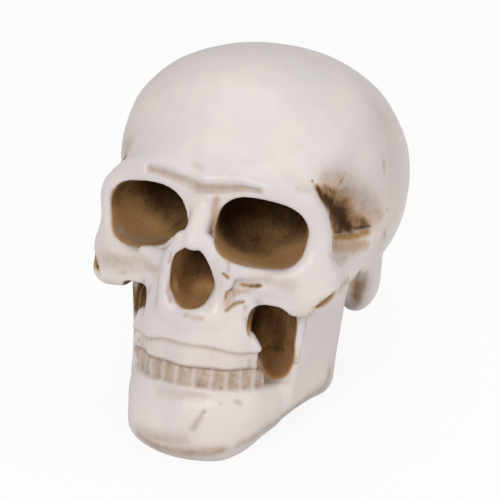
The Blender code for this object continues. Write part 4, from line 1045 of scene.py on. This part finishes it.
SLAB_HALF = 1.6
SLAB_EDGE = 0.1
BED_SQUASH = 0.93
BED_BEAD = 0.55
BED_PROUD = 0.12
BEAD_DEPTH = (-1.6, -0.6)
LEAST_SLOPE = 0.25
bed_slab = np.maximum(np.maximum(np.abs(jaw_side) - SLAB_HALF, full_skin - BED_PROUD), -dowel_holes)
past_slab = SLAB_HALF + SLAB_EDGE
before_plates = np.minimum(np.abs(grid[0]) - FLANK + past_slab, grid[1] - PLATE_FRONT + past_slab)
in_bite = np.maximum(np.abs(grid[2] - BITE_HEIGHT) - past_slab, before_plates)


def slope_of(distances, points):
    """How fast distances grow at points, from one step of the grid on either side."""
    steps = np.eye(3) * CLAY_STEP
    rise = [sampled(distances, points + e) - sampled(distances, points - e) for e in steps]
    return np.stack(rise, 1) / (2 * CLAY_STEP)


def laid_bed(name, distances):
    """A bed from its distances, pressed towards the middle of the joint: p - share d grad d / |grad d|^2,
    where d is the signed distance from that middle. Its outer edge is wiped flush and glazed over as a thin
    bead."""
    points, quads = skin_of(distances)
    glazed = ramp(sampled(full_skin, points), *BEAD_DEPTH)
    normals = slope_of(full_skin, points)
    film, wash, dark = wear(points, normals / (np.linalg.norm(normals, axis=1)[:, None] + 1e-9))
    squash = BED_SQUASH + (BED_BEAD - BED_SQUASH) * glazed
    slope = slope_of(jaw_side, points)
    push = squash * sampled(jaw_side, points) / np.maximum((slope ** 2).sum(1), LEAST_SLOPE)
    points = points - push[:, None] * slope
    mesh = mesh_of(name, points, split(points, quads))
    keep_on(mesh, {"glazed": glazed, "film": film, "wash": wash, "dark": dark})
    mesh.shade_smooth()
    mesh.materials.append(trowelled(name + "_grit"))
    bed = bpy.data.objects.new(name, mesh)
    bpy.context.scene.collection.objects.link(bed)
    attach(bed, "root")
    return bed


BED_PARTING = 0.4
bite_bed = laid_bed("bite_bed", np.maximum(bed_slab, in_bite))
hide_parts("bite_cement")
left_bed = laid_bed("left_flank_bed",
                    np.maximum(bed_slab, np.maximum(BED_PARTING - in_bite, BED_PARTING - grid[0])))
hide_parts("left_flank_cement")
right_bed = laid_bed("right_flank_bed",
                     np.maximum(bed_slab, np.maximum(BED_PARTING - in_bite, BED_PARTING + grid[0])))
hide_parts("right_flank_cement")

for node in DABS:
    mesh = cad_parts[node].data
    mesh.materials.clear()
    mesh.materials.append(trowelled(node + "_grit"))

# Dowels and armature
# Plain round bar steel. The dowels sit in blind holes across the beds, and the ring and hoops are bent from
# bar and lie in the hollow as drawn, with mill scale and a little rust.

STEEL = tone(150, 146, 142)
SCALE = tone(74, 68, 64)
RUST = tone(124, 74, 40)
BARS = ("left_tooth_dowel", "right_tooth_dowel", "left_flank_dowel", "right_flank_dowel", "base_ring",
        "crown_hoop", "side_hoop")
for node in BARS:
    steel, start = new_glaze(node + "_bar")
    scale = start.noise(220.0, 5.0, 0.65)
    specks = start.noise(900.0, 3.0, 0.6)
    rust = (scale + (specks - 0.5) * 0.5).rising(0.58, 0.72)
    bare = start.colour(scale.rising(0.3, 0.6), STEEL, SCALE)
    finish_glaze(start, {
        "Base Color": start.colour(rust, bare, RUST),
        "Metallic": 1 - rust,
        "Roughness": 0.42 + rust * 0.4 + (specks - 0.5) * 0.2,
    }, specks * 0.6 + scale * 0.4, 0.0002)
    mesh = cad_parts[node].data
    mesh.materials.clear()
    mesh.materials.append(steel)

# Stage
# A plain pale floor under soft studio light, with the camera where the photographer stood.

FLOOR_HALF = 6.0
PAPER = (0.86, 0.85, 0.85, 1.0)
WHITE = (1.0, 1.0, 1.0, 1.0)
PAPER_GLOW = 0.9
ROOM_LIGHT = 0.44

floor_mesh = bpy.data.meshes.new("floor")
corners = [(x * FLOOR_HALF, y * FLOOR_HALF, 0) for x, y in ((-1, -1), (1, -1), (1, 1), (-1, 1))]
floor_mesh.from_pydata(corners, [], [(0, 1, 2, 3)])
floor = bpy.data.objects.new("floor", floor_mesh)
bpy.context.scene.collection.objects.link(floor)
paper, start = new_glaze("floor_paper")
seen = start.node("LightPath", {}, {}, "Is Camera Ray")
matt = start.node("BsdfDiffuse", {}, {"Color": PAPER})
white = start.node("Emission", {}, {"Color": WHITE, "Strength": 1.0})
mixed = start.node("MixShader", {}, {0: seen * PAPER_GLOW, 1: matt, 2: white})
start.node("OutputMaterial", {}, {"Surface": mixed})
floor_mesh.materials.append(paper)

sky = bpy.data.worlds.new("studio")
bpy.context.scene.world = sky
sky.use_nodes = True
sky.node_tree.nodes.clear()
start = Glaze(sky.node_tree)
seen = start.node("LightPath", {}, {}, "Is Camera Ray")
strength = ROOM_LIGHT + seen * (1 - ROOM_LIGHT)
air = start.node("Background", {}, {"Color": WHITE, "Strength": strength})
start.node("OutputWorld", {}, {"Surface": air})

aim = Vector(set_down((0.0, 0.0, 0.0)))
SOFT_BOXES = (
    ("key_light", (-0.05, -1.15, 0.85), 0.6, 7.4),
    ("fill_light", (1.2, 0.0, 0.7), 1.0, 4.5),
    ("top_light", (-0.1, 0.3, 1.35), 0.9, 4.0),
)
for name, place, size, power in SOFT_BOXES:
    lamp = bpy.data.lights.new(name, "AREA")
    lamp.size = size
    lamp.energy = power
    box = bpy.data.objects.new(name, lamp)
    box.location = place
    box.rotation_euler = (aim - Vector(place)).to_track_quat("-Z", "Y").to_euler()
    bpy.context.scene.collection.objects.link(box)

lens = bpy.data.cameras.new("photo_camera")
lens.sensor_width = 36.0
lens.lens = PIXELS_PER_MM * LENS_DISTANCE * lens.sensor_width / PHOTO_SIDE
lens.shift_x = (PHOTO_SIDE / 2 - AIM_PIXEL[0]) / PHOTO_SIDE
lens.shift_y = (AIM_PIXEL[1] - PHOTO_SIDE / 2) / PHOTO_SIDE
lens.clip_end = 20.0
camera = bpy.data.objects.new("photo_camera", lens)
camera.location = aim - look * LENS_DISTANCE * MM
camera.rotation_euler = look.to_track_quat("-Z", "Y").to_euler()
bpy.context.scene.collection.objects.link(camera)
bpy.context.scene.camera = camera
bpy.context.scene.view_settings.view_transform = "Standard"
